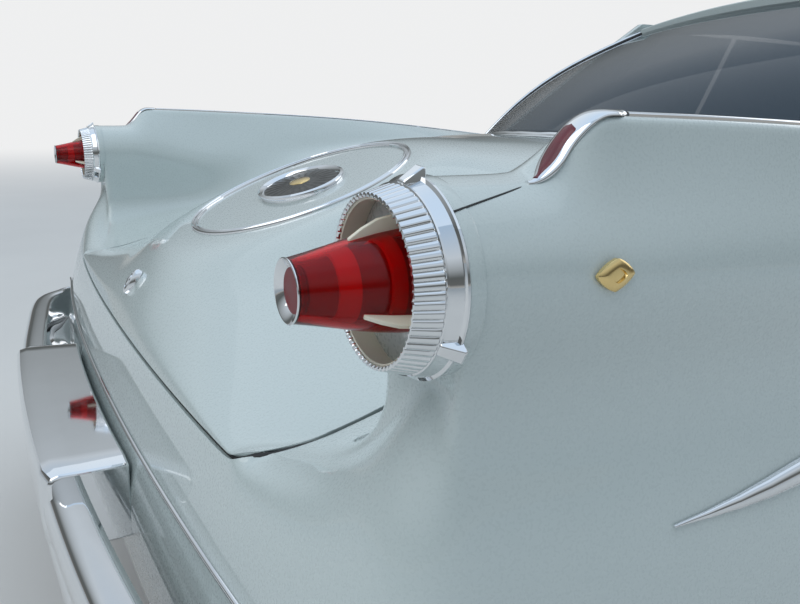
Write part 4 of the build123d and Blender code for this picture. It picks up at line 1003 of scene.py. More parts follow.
def lamp_ring(side, sign):
    """The free-standing ring round one tail lamp, with its ears and vanes."""
    front, band, rear = FIN_END_Y + 0.0100, FIN_END_Y + 0.0270, FIN_END_Y + 0.0475
    reach = lambda y: 0.0770 - (0.0770 - 0.0662) * (y - front) / (rear - front)
    profile = [(front, 0.0740), (front, 0.0775), (front + 0.0012, 0.0786), (front + 0.0032, 0.0786),
               (front + 0.0042, reach(front + 0.004)), (band - 0.003, reach(band)),
               (band - 0.0026, reach(band) + 0.0010), (band - 0.0010, reach(band) + 0.0010),
               (band - 0.0004, reach(band) - 0.0008)]
    steps = 6
    fluted = [band + (rear - band) * k / steps for k in range(steps + 1)]
    profile += [(y, reach(y) - 0.0004) for y in fluted]
    profile += [(rear + 0.0003, reach(rear) - 0.0022), (rear - 0.0008, reach(rear) - 0.0036),
                (rear - 0.004, reach(rear) - 0.0042)]

    def groove(y, r, k):
        if y < band - 1e-6 or r < reach(y) - 0.003:
            return 0.0
        return -0.0013 if k % 6 == 0 else (0.0 if k % 6 in (1, 5) else 0.0003)

    centre = (sign * LAMP_X, 0, LAMP_Z)
    lathe("lamp_ring_" + side, profile, centre, "y", CHROME, "car", "bright_chrome", FLUTES * 6, groove,
          replaces=["tail_lamp_rings"])
    inner = [(front + 0.0002, 0.0738), (rear - 0.003, reach(rear) - 0.0040),
             (rear - 0.003, reach(rear) - 0.0052), (front + 0.0002, 0.0726)]
    lathe("lamp_ring_lining_" + side, inner, centre, "y", CREAM, "car", "bright_chrome", 96)
    for k, turn in enumerate((85, 210, 330)):
        a = math.radians(turn if sign > 0 else 180 - turn)
        out = np.array([math.cos(a), 0, math.sin(a)])
        across = np.array([-math.sin(a), 0, math.cos(a)])
        base = np.array(centre)
        put = lambda w, y, r: base + across * w + out * r + np.array([0, y, 0])
        # Columns: half width, y, distance from the lamp's middle
        ear = [(0.0085, front - 0.0005, 0.0750), (0.0062, front - 0.0005, 0.0850),
               (0.0058, front + 0.0020, 0.0852), (0.0045, front + 0.0165, 0.0752),
               (0.0060, front + 0.0165, 0.0720)]
        edge = [(front + 0.006, 0.0560), (FIN_END_Y + 0.028, 0.0510), (FIN_END_Y + 0.044, 0.0478),
                (FIN_END_Y + 0.056, 0.0418), (FIN_END_Y + 0.0665, 0.0345), (FIN_END_Y + 0.0665, 0.0315),
                (FIN_END_Y + 0.040, 0.0370), (front + 0.006, 0.0390)]
        vane = [(0.0019, y, r) for y, r in edge]
        for part, shape, paint, bevel in (("ring_ear", ear, CHROME, 0.0011), ("vane", vane, CREAM, 0.0006)):
            points = [put(w * s, y, r) for s in (-1, 1) for w, y, r in shape]
            tidy_normals(build(f"lamp_{part}_{k}_{side}", points, prism_faces(len(shape)), paint, "car",
                               "bright_chrome", bevel=bevel))


def lamp_lens(side, sign):
    """The bullet lens of one tail lamp, with its core, tip ring and the pod's end."""
    centre = (sign * LAMP_X, 0, LAMP_Z)
    # Columns: distance behind the pod, radius
    shell = ((8, 41.0), (14, 40.8), (28, 40.0), (45, 37.6), (62, 34.2), (80, 30.0), (96, 26.4), (111.4, 23.3),
             (111.2, 21.6), (95, 22.8), (78, 26.8), (60, 30.8), (42, 34.4), (26, 36.8), (12, 37.6), (8, 37.8))
    turned_parts = (
        ("lamp_lens_", shell, RED_GLASS, "red_lens", 96),
        ("lamp_core_", ((9, 0), (9, 35), (14, 34), (50, 28), (84, 22), (102, 18), (102, 0)), RED_CORE,
         "red_lens", 64),
        # These two bright bands inside the lens are painted glow, light through the glass given as colour.
        ("lamp_painted_amber_glow_", ((33, 29), (34, 34.0), (44, 31.9), (45, 27)), PAINTED_AMBER_GLOW, "red_lens", 64),
        ("lamp_painted_red_glow_", ((66, 24), (67, 27.4), (82, 23.8), (83, 20)), PAINTED_RED_GLOW, "red_lens", 64),
        ("lamp_tip_ring_", ((111.4, 23.2), (112.0, 23.9), (112.8, 23.9), (113.2, 23.2), (112.9, 22.4),
                            (108.2, 16.6), (107.6, 16.6), (107.4, 20.0), (110.6, 22.4)), CHROME,
         "bright_chrome", 96),
        ("lamp_tip_", ((103, 0), (103, 17.2), (107.9, 17.2), (108.2, 10), (108.3, 0)), RED_DISC,
         "red_lens", 64),
        ("lamp_pod_end_", ((-3, 0), (-3, 77.0), (-0.5, 77.7), (9.6, 77.4), (10.2, 76.8), (10.4, 73.6),
                           (19, 73.0), (21, 70), (23, 58), (23.5, 40), (23.5, 0)), PAINT, "body_paint", 96),
    )
    for name, profile, paint, slot, turns in turned_parts:
        places = [(FIN_END_Y + y * MM, r * MM) for y, r in profile]
        lathe(name + side, places, centre, "y", paint, "car", slot, turns,
              replaces=["tail_lamp_lenses"] if name == "lamp_lens_" else ())


def crest_mid(y, lift=0.0):
    """The middle of the crest's flat at y, which leaves for the flat's outer edge at the pod."""
    share = 0.5 + 0.5 * ramp(y, 2.485, 2.530)
    return point(y, 6) * share + point(y, 10) * (1 - share) + np.array([0, 0, lift])


def slope_out(path):
    """Directions square to a path in the upright plane along the car."""
    ahead = np.gradient(np.array(path, float), axis=0)
    return [(0, -t[2], t[1]) if t[1] > 0 else (0, t[2], -t[1]) for t in ahead]


def fin_trim():
    """The bright strips on the crests, and the bezels with red reflectors on the fins' ends."""
    flat = [(-1, -0.3), (1, -0.3), (1, 0.4), (0.8, 0.85), (0.4, 1), (-0.4, 1), (-0.8, 0.85), (-1, 0.4)]
    for name, y0, y1, body in (
        ("fender_crest", NOSE_Y + 0.03, FRONT_DOOR_Y - GAP - 0.002, "car"),
        ("front_door_crest", FRONT_DOOR_Y + 0.003, MID_DOOR_Y - GAP + 0.006, "front_door_{}_body"),
        ("rear_door_crest", MID_DOOR_Y + 0.014, REAR_DOOR_Y + 0.006, "rear_door_{}_body"),
        ("fin_crest", REAR_DOOR_Y + GAP + 0.014, 2.436, "car"),
    ):
        n = max(4, round((y1 - y0) / 0.06))
        path = [crest_mid(y0 + (y1 - y0) * k / n) for k in range(n + 1)]
        bar_pair(name + "_strip", path, slope_out(path), 0.0065, 0.0030, body=body, shape=flat)
    ys = [2.440 + (2.531 - 2.440) * k / 40 for k in range(41)]
    path = [crest_mid(y) for y in ys]
    wide = [0.0140 - 0.0112 * ramp(y, 2.500, 2.532) - 0.006 * (1 - ramp(y, 2.438, 2.456)) for y in ys]
    bar_pair("fin_bezel", path, slope_out(path), wide, [0.0042 - 0.002 * ramp(y, 2.51, 2.532) for y in ys])
    ys = [2.484 + (2.523 - 2.484) * k / 30 for k in range(31)]
    path = [crest_mid(y, 0.0018) for y in ys]
    wide = [(0.0094 - 0.0072 * ramp(y, 2.500, 2.524)) * ramp(y, 2.4835, 2.4860) + 0.0004 for y in ys]
    bar_pair("fin_reflector", path, slope_out(path), wide,
             [0.0042 - 0.002 * ramp(y, 2.51, 2.523) for y in ys], RED_REFLECTOR, slot="red_lens")
    seam = [point(2.529 + 0.071 * k / 10, 6 - 0.80 * (k / 10) ** 0.9) for k in range(11)]
    seam.append(seam[-1] + (seam[-1] - seam[-2]) * 1.5)
    outs = [(p[0] - LAMP_X, 0, p[2] - LAMP_Z) for p in seam]
    bar_pair("pod_seam", seam, outs, 0.0008, 0.0004, RUBBER, slot="tyre_rubber")


def spears():
    """The side spears, which dip to a point behind the rear wheels."""
    height = lambda y: 0.778 - 0.078 * ramp(y, 1.75, 2.46) / ramp(2.40, 1.75, 2.46)
    for name, y0, y1, body in (
        ("fender_spear", -1.45, FRONT_DOOR_Y - GAP - 0.002, "car"),
        ("front_door_spear", FRONT_DOOR_Y + 0.003, MID_DOOR_Y - GAP, "front_door_{}_body"),
        ("rear_door_spear", MID_DOOR_Y + 0.008, REAR_DOOR_Y, "rear_door_{}_body"),
        ("quarter_spear", REAR_DOOR_Y + GAP + 0.008, 2.400, "car"),
    ):
        n = max(6, round((y1 - y0) / 0.04))
        ys = [y0 + (y1 - y0) * k / n for k in range(n + 1)]
        path = [point(y, outer_at(y, height(y))) for y in ys]
        thin = [min(1.0, 0.06 + (2.402 - y) / 0.16, 0.06 + (y + 1.45) / 0.16) for y in ys]
        bar_pair(name, path, (1, 0, 0.06), [0.0125 * t for t in thin], [0.0085 * max(0.25, t) for t in thin],
                 body=body)


def on_disc(u, v, w):
    """A point in the plane of the deck ring: across, down the slope, and above it."""
    a = math.radians(RING_TILT)
    return (u, RING_Y + v * math.cos(a) + w * math.sin(a), RING_Z - v * math.sin(a) + w * math.cos(a))


def oval(name, profile, half_u, half_v, paint, slot, turns=96, wave=None, **more):
    """A closed piece in the plane of the deck ring. The profile is (share of the oval, extra, height)."""

    def place(a, k, share, extra, high):
        lift = wave(share, k) if wave else 0.0
        return on_disc((half_u * share + extra) * math.cos(a), (half_v * share + extra) * math.sin(a),
                       high + lift)

    faces = grid_faces(len(profile), turns, True, True)
    return tidy_normals(build(name, rings(profile, turns, place), faces, paint, "boot_lid", slot, **more))


def deck_trim():
    """The double-edged ring on the lid, the medallion in it and the lock's cover."""
    ring = ((1, -0.0075, -0.004), (1, -0.0075, 0.0016), (1, -0.0066, 0.0036), (1, -0.0048, 0.0044),
            (1, -0.0030, 0.0036), (1, -0.0022, 0.0016), (1, 0.0008, 0.0014), (1, 0.0016, 0.0042),
            (1, 0.0036, 0.0056), (1, 0.0056, 0.0042), (1, 0.0068, 0.0012), (1, 0.0068, -0.004))
    oval("deck_ring_bright", ring, RING_R, RING_R, CHROME, "bright_chrome", 192, replaces=["deck_ring"])
    bezel = ((1, -0.014, -0.003), (1, -0.014, 0.0050), (1, -0.011, 0.0088), (1, -0.006, 0.0110),
             (1, -0.001, 0.0088), (1, 0.0, 0.0060), (1, 0.0, -0.003))
    oval("medallion_bezel", bezel, 0.115, 0.082, CHROME, "bright_chrome", 144)
    face = ((0.0, 0, -0.002), (0.0, 0, 0.0095), (0.25, 0, 0.0090), (0.30, 0, 0.0070), (0.55, 0, 0.0062),
            (0.80, 0, 0.0050), (0.885, 0, 0.0038), (0.93, 0, 0.0036), (0.93, 0, -0.002))
    rays = lambda share, k: 0.0012 if 0.3 < share < 0.85 and k % 6 in (0, 1) else 0.0
    oval("medallion_face", face, 0.115, 0.082, DARK_FACE, "bright_chrome", 144, rays)
    boss = ((0.0, 0, 0.004), (0.0, 0, 0.0125), (0.16, 0, 0.0120), (0.235, 0, 0.0098), (0.25, 0, 0.0070),
            (0.25, 0, 0.004))
    oval("medallion_boss", boss, 0.115, 0.082, GILT, "bright_chrome", 72)
    line, far = along(lid_path(0.0))
    middle = np.array([0.0, *line(far[-1] - 0.070)])
    down = np.array([0.0, *(line(far[-1] - 0.060) - line(far[-1] - 0.080))])
    down /= np.linalg.norm(down)
    out = np.cross((1, 0, 0), down) * -1
    out *= math.copysign(1, out[2])
    profile = ((0.0, -0.004), (1.0, -0.004), (1.0, 0.003), (0.86, 0.007), (0.62, 0.0085), (0.58, 0.0060),
               (0.40, 0.0060), (0.34, 0.0095), (0.0, 0.0115))

    def place(a, _, share, high):
        u, v = 0.013 * share * math.cos(a), 0.025 * share * math.sin(a)
        return middle + down * v + out * high + (u, 0, 0)

    faces = grid_faces(len(profile), 40, False, True)
    tidy_normals(build("lock_cover", rings(profile, 40, place), faces, CHROME, "boot_lid", "bright_chrome"))


def ornaments():
    """Small plain gilt lozenges on the rear quarters."""
    y, z = 2.480, 0.926
    x = next(p[0] for p in (point(y, t) for t in np.linspace(3.2, 5, 60)) if p[2] > z)
    profile = ((0.0, -0.001), (1.0, -0.001), (1.0, 0.002), (0.8, 0.0042), (0.45, 0.0046), (0.4, 0.0030),
               (0.0, 0.0034))

    def place(a, _, share, high):
        u, v = rounded(a, 1.5)
        return (x + high, y + u * 0.019 * share, z + v * 0.013 * share)

    faces = grid_faces(len(profile), 24, False, True)
    for piece in pair("quarter_lozenge", rings(profile, 24, place), faces, GILT, "car", "bright_chrome"):
        tidy_normals(piece)


# The half width of the rear bumper's raised middle, which is also the place of the front guards
GUARD_X = 0.335


def bumper_plan(end):
    """The plan of a bumper from the right to the left, with outward directions."""
    back = 2.874
    keys = [(1.000, back - 0.314), (1.000, back - 0.250), (1.000, back - 0.190), (0.990, back - 0.145),
            (0.962, back - 0.104), (0.920, back - 0.076), (0.860, back - 0.060), (0.700, back - 0.0400),
            (0.500, back - 0.0205), (0.340, back - 0.0095), (0.170, back - 0.0024), (0.0, back)]
    line, far = along(keys)
    half = [line(far[-1] * k / 44) for k in range(45)]
    points = [(-x, end * y) for x, y in half] + [(x, end * y) for x, y in half[-2::-1]]
    ahead = np.gradient(np.array(points), axis=0)
    outs = [np.array([t[1], -t[0]]) / np.linalg.norm(t) * -end for t in ahead]
    return points, outs


def bumpers():
    """Chromed blades with a full upper roll, a groove and a lower roll."""
    # Columns: distance in from the blade's face, share of its height
    blade = ((0.055, 0.985), (0.034, 1.0), (0.016, 0.985), (0.006, 0.93), (0.0015, 0.85), (0.0015, 0.74),
             (0.0055, 0.65), (0.0145, 0.585), (0.0215, 0.555), (0.0215, 0.53), (0.0140, 0.50),
             (0.0080, 0.42), (0.0070, 0.30), (0.0120, 0.18), (0.0260, 0.06), (0.045, 0.0), (0.056, 0.0))
    for name, end, low, tall in (("rear_bumper", 1, 0.338, 0.192), ("front_bumper", -1, 0.320, 0.200)):
        plan, outs = bumper_plan(end)
        points = []
        for (x, y), out in zip(plan, outs):
            fade = 1 - 0.75 * ramp(abs(x), 0.93, 1.0)
            for inset, share in blade:
                d = inset * (fade if abs(y) < 2.74 else 1)
                points.append((x - out[0] * d, y - out[1] * d, low + tall * share))
        build(name + "_blade", points, grid_faces(len(plan), len(blade)), CHROME, "car", "bright_chrome",
              [name], lambda c: (c[0], c[1], 0), 0.0035, 1, 0.0, 60)
        for side, sign in SIDES if end < 0 else ():
            near = [k for k, (x, _) in enumerate(plan) if GUARD_X - 0.022 < sign * x < GUARD_X + 0.022]
            k = near[len(near) // 2]
            (x, y), out = plan[k], outs[k]
            shares = [0.02 + 0.96 * j / 12 for j in range(13)]
            path = [(x - out[0] * 0.012, y - out[1] * 0.012, low + tall * s) for s in shares]
            high = [0.0115 * math.sin(math.pi * (0.08 + 0.84 * s)) ** 0.5 for s in shares]
            sweep(f"{name}_guard_{side}", path, (*out, 0), HALF_ROUND, 0.026, high, CHROME, "car",
                  "bright_chrome")


def bumper_centre():
    """The raised middle of the rear bumper, and the bright strip on the body over it."""
    middle = [(p, o) for p, o in zip(*bumper_plan(1)) if abs(p[0]) < GUARD_X]
    # Columns: distance in from the face, height
    loop_of = ((0.116, 0.5550), (0.050, 0.5575), (0.018, 0.5590), (0.006, 0.5560), (0.0006, 0.5480),
               (0.0, 0.5350), (0.0, 0.4700), (0.0012, 0.4500), (0.007, 0.4390), (0.020, 0.4340),
               (0.116, 0.4340))
    points = []
    for (x, y), out in middle:
        end = ramp(abs(x), 0.300, GUARD_X)
        for inset, z in loop_of:
            d = inset + 0.010 * end * (inset < 0.1)
            points.append((x - out[0] * d, y - out[1] * d, z - 0.006 * end * (z > 0.5)))
    n = len(loop_of)
    faces = grid_faces(len(middle), n, False, True)
    faces += [list(range(n)), list(range(len(points) - n, len(points)))]
    tidy_normals(build("rear_bumper_centre", points, faces, CHROME, "car", "bright_chrome", bevel=0.004))
    xs = [0.90 * (k - 20) / 20 for k in range(41)]
    path = [(x, rear_y(abs(x), 0.572, 0.88) + 0.0005, 0.572) for x in xs]
    sweep("tail_strip", path, [(0.3 * x, 1, 0) for x in xs], HALF_ROUND, 0.0035, 0.0035, CHROME, "car",
          "bright_chrome")


# Windows

# Columns: z, x at the side, y at the side, y at the middle
REAR_GLASS = ((930, 700, 1465, 1775), (1200, 640, 1130, 1350), (1372, 560, 745, 840))
SCREEN = ((890, 748, -722, -925), (1170, 672, -590, -720), (1372, 590, -490, -524))


def roof_height(x, y):
    """The height of the roof at x and y, or of its edge beside it."""
    edge_x, edge, top = roof_table(y / MM) * MM
    return edge + (top - edge) * (1 - min(1.0, abs(x) / edge_x) ** 2.2)


def window(name, table, foot, roof_y, node):
    """A bent window between its foot and the roof, with its rubber and bright surround."""
    line = Curve(table)

    def place(share, z):
        x, side_y, middle_y = line(z / MM) * MM
        return np.array([x * share, side_y + (middle_y - side_y) * (1 - share**2), z])

    points, count, steps = [], 15, 12
    end = 1 if roof_y > 0 else -1
    for i in range(-count, count + 1):
        share = i / count
        low = next(z for z in np.linspace(0.89, 1.1, 120) if z > foot(*place(share, z)[:2]) - 0.004)
        spots = [z for z in np.linspace(1.2, 1.372, 120)
                 if end * place(share, z)[1] > end * roof_y or z < roof_height(*place(share, z)[:2]) - 0.006]
        high = spots[-1]
        points += [place(share, low + (high - low) * k / steps) for k in range(steps + 1)]
    columns = 2 * count + 1
    n = steps + 1
    outward = lambda c: (0, end, 0.5)
    build(name, points, grid_faces(columns, n), SHADED_GLASS, "car", "window_glass", [node], outward, 0.005, 1)
    rim = [points[i * n] for i in range(columns)]
    rim += [points[(columns - 1) * n + k] for k in range(1, n)]
    top = [points[i * n + n - 1] for i in range(columns - 2, -1, -1)]
    rim += top + [points[k] for k in range(n - 2, 0, -1)]
    grid = np.array(points).reshape(columns, n, 3)
    normal = {}
    du, dv = np.gradient(grid, axis=0), np.gradient(grid, axis=1)
    for i in range(columns):
        for k in range(n):
            v = np.cross(du[i, k], dv[i, k])
            v /= np.linalg.norm(v)
            normal[tuple(grid[i, k])] = v if v @ (0, end, 0.5) > 0 else -v
    outs = [normal[tuple(p)] for p in rim]
    for part, lift, wide, tall, paint, slot in (
        ("rubber", 0.000, 0.013, 0.006, RUBBER, "tyre_rubber"),
        ("bright", 0.004, 0.0075, 0.0055, CHROME, "bright_chrome"),
    ):
        path = np.array(rim) + np.array(outs) * lift
        closed_sweep(f"{name}_{part}", path, outs, wide, tall, paint, slot)


def closed_sweep(name, path, outs, wide, tall, paint, slot):
    """A half-round bar along a closed path."""
    ahead = np.roll(path, -1, axis=0) - np.roll(path, 1, axis=0)
    points = []
    for p, t, out in zip(path, ahead, outs):
        across = np.cross(t, out)
        across /= np.linalg.norm(across)
        points += [p + across * a * wide + np.array(out) * b * tall for a, b in HALF_ROUND]
    faces = grid_faces(len(path), len(HALF_ROUND), True, True)
    return tidy_normals(build(name, points, faces, paint, "car", slot))


def windows():
    """The windscreen, the rear window and the drip rails."""
    deck_foot = lambda x, y: deck_z(min(LID_X, abs(x)), max(1.084, y))
    window("rear_window_glass", REAR_GLASS, deck_foot, 0.88, "rear_window")
    window("windscreen_glass", SCREEN, lambda x, y: cowl_z(x), -0.56, "windscreen")
    rail = []
    for k in range(25):
        y = -0.55 + 1.42 * k / 24
        x, edge, _ = roof_table(y / MM) * MM
        rail.append((x - 0.002, y, edge - 0.004))
    bar_pair("drip_rail", rail, (1, 0, 0.35), 0.0075, 0.008)


# Wheels


def wheels():
    """Tyres with a ribbed tread and a white band, and steel wheels with finned covers."""
    tread = []
    for k in range(-34, 35):
        a = 0.078 * k / 34
        deep = 0.0055 if abs(k) % 10 in (4, 5) else 0.0
        tread.append((a, TYRE_R - 0.010 * (abs(k) / 34) ** 4 - deep))
    # Columns: distance from the tyre's middle, radius
    wall = ((86, 345), (93, 334), (99, 318), (103, 300), (104, 280), (103.4, 276), (103.4, 274), (104, 271),
            (103, 246), (102.4, 243), (102.4, 240), (101, 237), (97, 220), (90, 206), (84, 199), (82, 197))
    out = [(a * MM, r * MM) for a, r in wall]
    profile = [(-a, r) for a, r in out[::-1]] + tread + out
    cover = ((80, 176), (66, 158), (63, 150), (66, 142), (77, 96), (80, 92), (84, 90), (88, 84), (94, 62),
             (100, 50), (103, 30), (104, 0))
    cover_back = ((60, 0.0), (58, 150), (70, 165), (90, 188))
    back = ((14, 0), (14, 20.1), (-64, 20.1), (-64, 46), (-8, 46), (-8, 132), (-70, 132), (-70, 142),
            (4, 142), (4, 168), (-60, 188), (-88, 188), (-88, 195.7), (-80, 197), (-76, 190), (-30, 186),
            (30, 186), (76, 190), (80, 197), (88, 203.5), (93, 203.5), (94, 200), (92, 186))
    turns = 36 * 6

    def rib(r, k):
        """How far the cover's ribs stand out."""
        return 0.0045 * (k % 6 in (0, 1, 2)) if 0.094 < r < 0.146 else 0.0

    for end, y in (("front", FRONT_AXLE_Y), ("rear", REAR_AXLE_Y)):
        for side, sign in SIDES:
            body = f"wheel_{end}_{side}_body"
            centre = (sign * TRACK, y, TYRE_R)
            rows = [(sign * a, r) for a, r in profile]
            tyre = lathe(f"tyre_{end}_{side}", rows, centre, "x", [RUBBER, WHITE_WALL], body, "tyre_rubber",
                         120, replaces=[f"tyre_{end}_{side}"])
            for face in tyre.data.polygons:
                c = face.center
                r = math.hypot(c[1] - y, c[2] - TYRE_R)
                if 0.2435 < r < 0.2735 and (c[0] - centre[0]) * sign > 0.09:
                    face.material_index = 1
            steel = [(sign * a * MM, r * MM) for a, r in back]
            lathe(f"wheel_steel_{end}_{side}", steel, centre, "x", WHEEL_PAINT, body, "body_paint", 96,
                  replaces=[f"wheel_{end}_{side}"])
            rows = [(a * MM, r * MM) for a, r in ((92, 190), *cover, *cover_back)]
            place = lambda angle, k, a, r: (centre[0] + sign * (a + rib(r, k)), y + r * math.cos(angle),
                                            TYRE_R + r * math.sin(angle))
            tidy_normals(build(f"wheel_cover_{end}_{side}", rings(rows, turns, place),
                               grid_faces(len(rows), turns, True, True), CHROME, body, "bright_chrome"))


# Seats and cabin


CHANNELS = 14


def cushion(name, x_half, y0, y1, z0, z1, node, lean=0.0, upright=False):
    """A crowned pad with sewn channels. Upright pads lean back by lean over their height."""
    nx, nv = CHANNELS * 6, 10
    points, spots = [], []
    for side in (1, -1):
        for j in range(nv + 1):
            v = -1 + 2 * j / nv
            for i in range(nx + 1):
                u = -1 + 2 * i / nx
                edge = (1 - abs(u) ** 8) * (1 - abs(v) ** 6)
                crown = max(0.0, edge) ** 0.38
                pull = 1 - 0.012 * (1 - abs(v) ** 2) * abs(u) ** 6
                roll = 0.0
                inner = abs(u) < 0.955 and abs(v) < 0.86
                if inner and side > 0:
                    roll = -0.0065 * abs(math.cos(math.pi * CHANNELS * (u + 1) / 2)) ** 8
                if side > 0 and abs(abs(v) - 0.88) < 0.03:
                    roll -= 0.004
                spots.append((u * x_half * pull, v, crown, roll, side))
    for u, v, crown, roll, side in spots:
        if upright:
            middle = (y0 + y1) / 2
            deep = (y1 - y0) / 2 * crown
            z = z0 + (z1 - z0) * (v + 1) / 2
            shift = lean * (z - z0) / (z1 - z0)
            points.append((u, middle - side * deep - roll * side + shift, z))
        else:
            middle = (z0 + z1) / 2
            deep = (z1 - z0) / 2 * crown
            points.append((u, y0 + (y1 - y0) * (v + 1) / 2, middle + side * deep + roll))
    w = nx + 1
    block = (nv + 1) * w
    faces = []
    for base in (0, block):
        faces += [[base + j * w + i, base + j * w + i + 1, base + (j + 1) * w + i + 1, base + (j + 1) * w + i]
                  for j in range(nv) for i in range(nx)]
    rim = list(range(w)) + [j * w + nx for j in range(1, nv + 1)]
    rim += [nv * w + i for i in range(nx - 1, -1, -1)] + [j * w for j in range(nv - 1, 0, -1)]
    faces += [[a, b, block + b, block + a] for a, b in zip(rim, rim[1:] + rim[:1])]
    piece = tidy_normals(build(name, points, faces, CLOTH, "car", "seat_cloth", [node], levels=1))
    return piece


def seats():
    """The cushions and backrests of both benches."""
    cushion("front_cushion", 0.698, -0.248, 0.256, 0.4065, 0.586, "front_seat")
    cushion("front_backrest", 0.698, 0.262, 0.384, 0.425, 0.852, "front_seat", 0.09, upright=True)
    cushion("rear_cushion", 0.688, 0.482, 0.808, 0.4065, 0.586, "rear_seat")
    cushion("rear_backrest", 0.558, 0.814, 0.934, 0.506, 0.852, "rear_seat", 0.06, upright=True)


def front_lamps():
    """Round sealed lamps with bright bezels."""
    for side, sign in SIDES:
        for k, x in enumerate((0.600, 0.768)):
            centre = (sign * x, 0, 0.690)
            glass = ((-2.7035, 0.0), (-2.7190, 0.0), (-2.7170, 0.030), (-2.7110, 0.052), (-2.7040, 0.064),
                     (-2.7000, 0.067), (-2.6960, 0.067), (-2.7000, 0.050))
            lathe(f"headlamp_glass_{k}_{side}", glass, centre, "y", CLEAR, "car", "lamp_glass", 64,
                  replaces=["headlamps"])
            bowl = ((-2.6990, 0.0660), (-2.6700, 0.0600), (-2.6690, 0.0), (-2.6720, 0.0), (-2.6900, 0.045))
            lathe(f"headlamp_bowl_{k}_{side}", bowl, centre, "y", SATIN, "car", "bright_chrome", 64)
            rim = ((-2.6690, 0.0776), (-2.7050, 0.0776), (-2.7150, 0.0765), (-2.7210, 0.0735),
                   (-2.7180, 0.0690), (-2.7050, 0.0672), (-2.6690, 0.0680))
            lathe(f"headlamp_rim_{k}_{side}", rim, centre, "y", CHROME, "car", "bright_chrome", 96)


def sill_finish():
    """Carpet between the sills and body paint on them, told apart by the distance from the middle."""
    made = CARPET.copy()
    made.name = "carpet_and_sill_paint"
    nodes, links = made.node_tree.nodes, made.node_tree.links
    shader = nodes["Principled BSDF"]
    place = nodes.new("ShaderNodeTexCoord")
    split = nodes.new("ShaderNodeSeparateXYZ")
    links.new(place.outputs["Object"], split.inputs["Vector"])
    away = nodes.new("ShaderNodeMath")
    away.operation = "ABSOLUTE"
    links.new(split.outputs["X"], away.inputs[0])
    side = nodes.new("ShaderNodeMath")
    side.operation = "GREATER_THAN"
    side.inputs[1].default_value = 0.745
    links.new(away.outputs[0], side.inputs[0])
    mix = nodes.new("ShaderNodeMix")
    mix.data_type = "RGBA"
    links.new(side.outputs[0], mix.inputs["Factor"])
    links.new(shader.inputs["Base Color"].links[0].from_socket, mix.inputs[6])
    mix.inputs[7].default_value = (0.46, 0.535, 0.555, 1)
    links.new(mix.outputs[2], shader.inputs["Base Color"])
    return made


def carried_over():
    """Procedural materials for the pieces of the frame that stay as they are."""
    finishes = {
        "frame_rails": UNDERSIDE, "floor_and_sills": sill_finish(), "firewall": BLACK,
        "boot_floor": CARPET, "rear_bulkhead": CARPET,
        "inner_fenders": BLACK, "engine_block": CAST, "exhaust_pipes": RUST_STEEL, "fuel_tank": TANK,
        "front_suspension": BLACK, "rear_axle": BLACK, "rear_springs": RUST_STEEL, "nose_panel": PAINT,
        "grille": CHROME, "dashboard": DASH, "steering_column": DASH, "steering_wheel": VINYL,
        "knuckle_left": BLACK, "knuckle_right": BLACK, "front_door_glass_left": SHADED_GLASS,
        "front_door_glass_right": SHADED_GLASS, "rear_door_glass_left": SHADED_GLASS, "rear_door_glass_right": SHADED_GLASS,
    }
    for name, paint in finishes.items():
        piece = bpy.data.objects.get(name)
        if piece is None:
            continue
        if not piece.material_slots:
            piece.data.materials.append(paint)
        for slot in piece.material_slots:
            slot.material = paint


body_sides()
rockers()
doors()
deck()
boot_boards()
hood()
nose()
roof()
for lamp_side, lamp_sign in SIDES:
    lamp_ring(lamp_side, lamp_sign)
    lamp_lens(lamp_side, lamp_sign)
fin_trim()
spears()
deck_trim()
ornaments()
bumpers()
bumper_centre()
windows()
wheels()
seats()
front_lamps()
carried_over()


# Camera, light and floor


def camera():
    """The camera of the photograph."""
    yaw, pitch, roll = (math.radians(a) for a in (CAMERA_YAW, CAMERA_PITCH, CAMERA_ROLL))
    ahead = Vector((math.cos(yaw) * math.cos(pitch), -math.sin(yaw) * math.cos(pitch), -math.sin(pitch)))
    right = ahead.cross(Vector((0, 0, 1))).normalized()
    up = right.cross(ahead)
    across = math.cos(roll) * right + math.sin(roll) * up
    high = -math.sin(roll) * right + math.cos(roll) * up
    data = bpy.data.cameras.new("camera")
    data.sensor_width = 36.0
    data.lens = data.sensor_width * CAMERA_FOCAL_PIXELS / IMAGE_WIDTH
    data.clip_start = 0.02
    made = bpy.data.objects.new("camera", data)
    bpy.context.scene.collection.objects.link(made)
    turn = Matrix((across, high, -ahead)).transposed().to_4x4()
    made.matrix_world = Matrix.Translation(CAMERA_PLACE) @ turn
    bpy.context.scene.camera = made


def lamp(name, place, aim, size, power, colour=(1, 1, 1)):
    """A rectangular light that points at aim."""
    data = bpy.data.lights.new(name, "AREA")
    data.shape, data.size, data.size_y = "RECTANGLE", size[0], size[1]
    data.energy, data.color = power, colour
    made = bpy.data.objects.new(name, data)
    bpy.context.scene.collection.objects.link(made)
    made.location = place
    made.rotation_euler = (Vector(place) - Vector(aim)).to_track_quat("Z", "Y").to_euler()


PALE = (0.86, 0.865, 0.87, 1)


def mixed(nodes, links, factor, first, second):
    """Two shaders mixed by a factor."""
    mix = nodes.new("ShaderNodeMixShader")
    links.new(factor, mix.inputs["Fac"])
    links.new(first, mix.inputs[1])
    links.new(second, mix.inputs[2])
    return mix.outputs[0]


def seen_directly(nodes, links, kinds):
    """1 for light paths of these kinds, and 0 for others."""
    path = nodes.new("ShaderNodeLightPath")
    found = path.outputs[kinds[0]]
    for kind in kinds[1:]:
        either = nodes.new("ShaderNodeMath")
        either.operation = "MAXIMUM"
        links.new(found, either.inputs[0])
        links.new(path.outputs[kind], either.inputs[1])
        found = either.outputs[0]
    return found


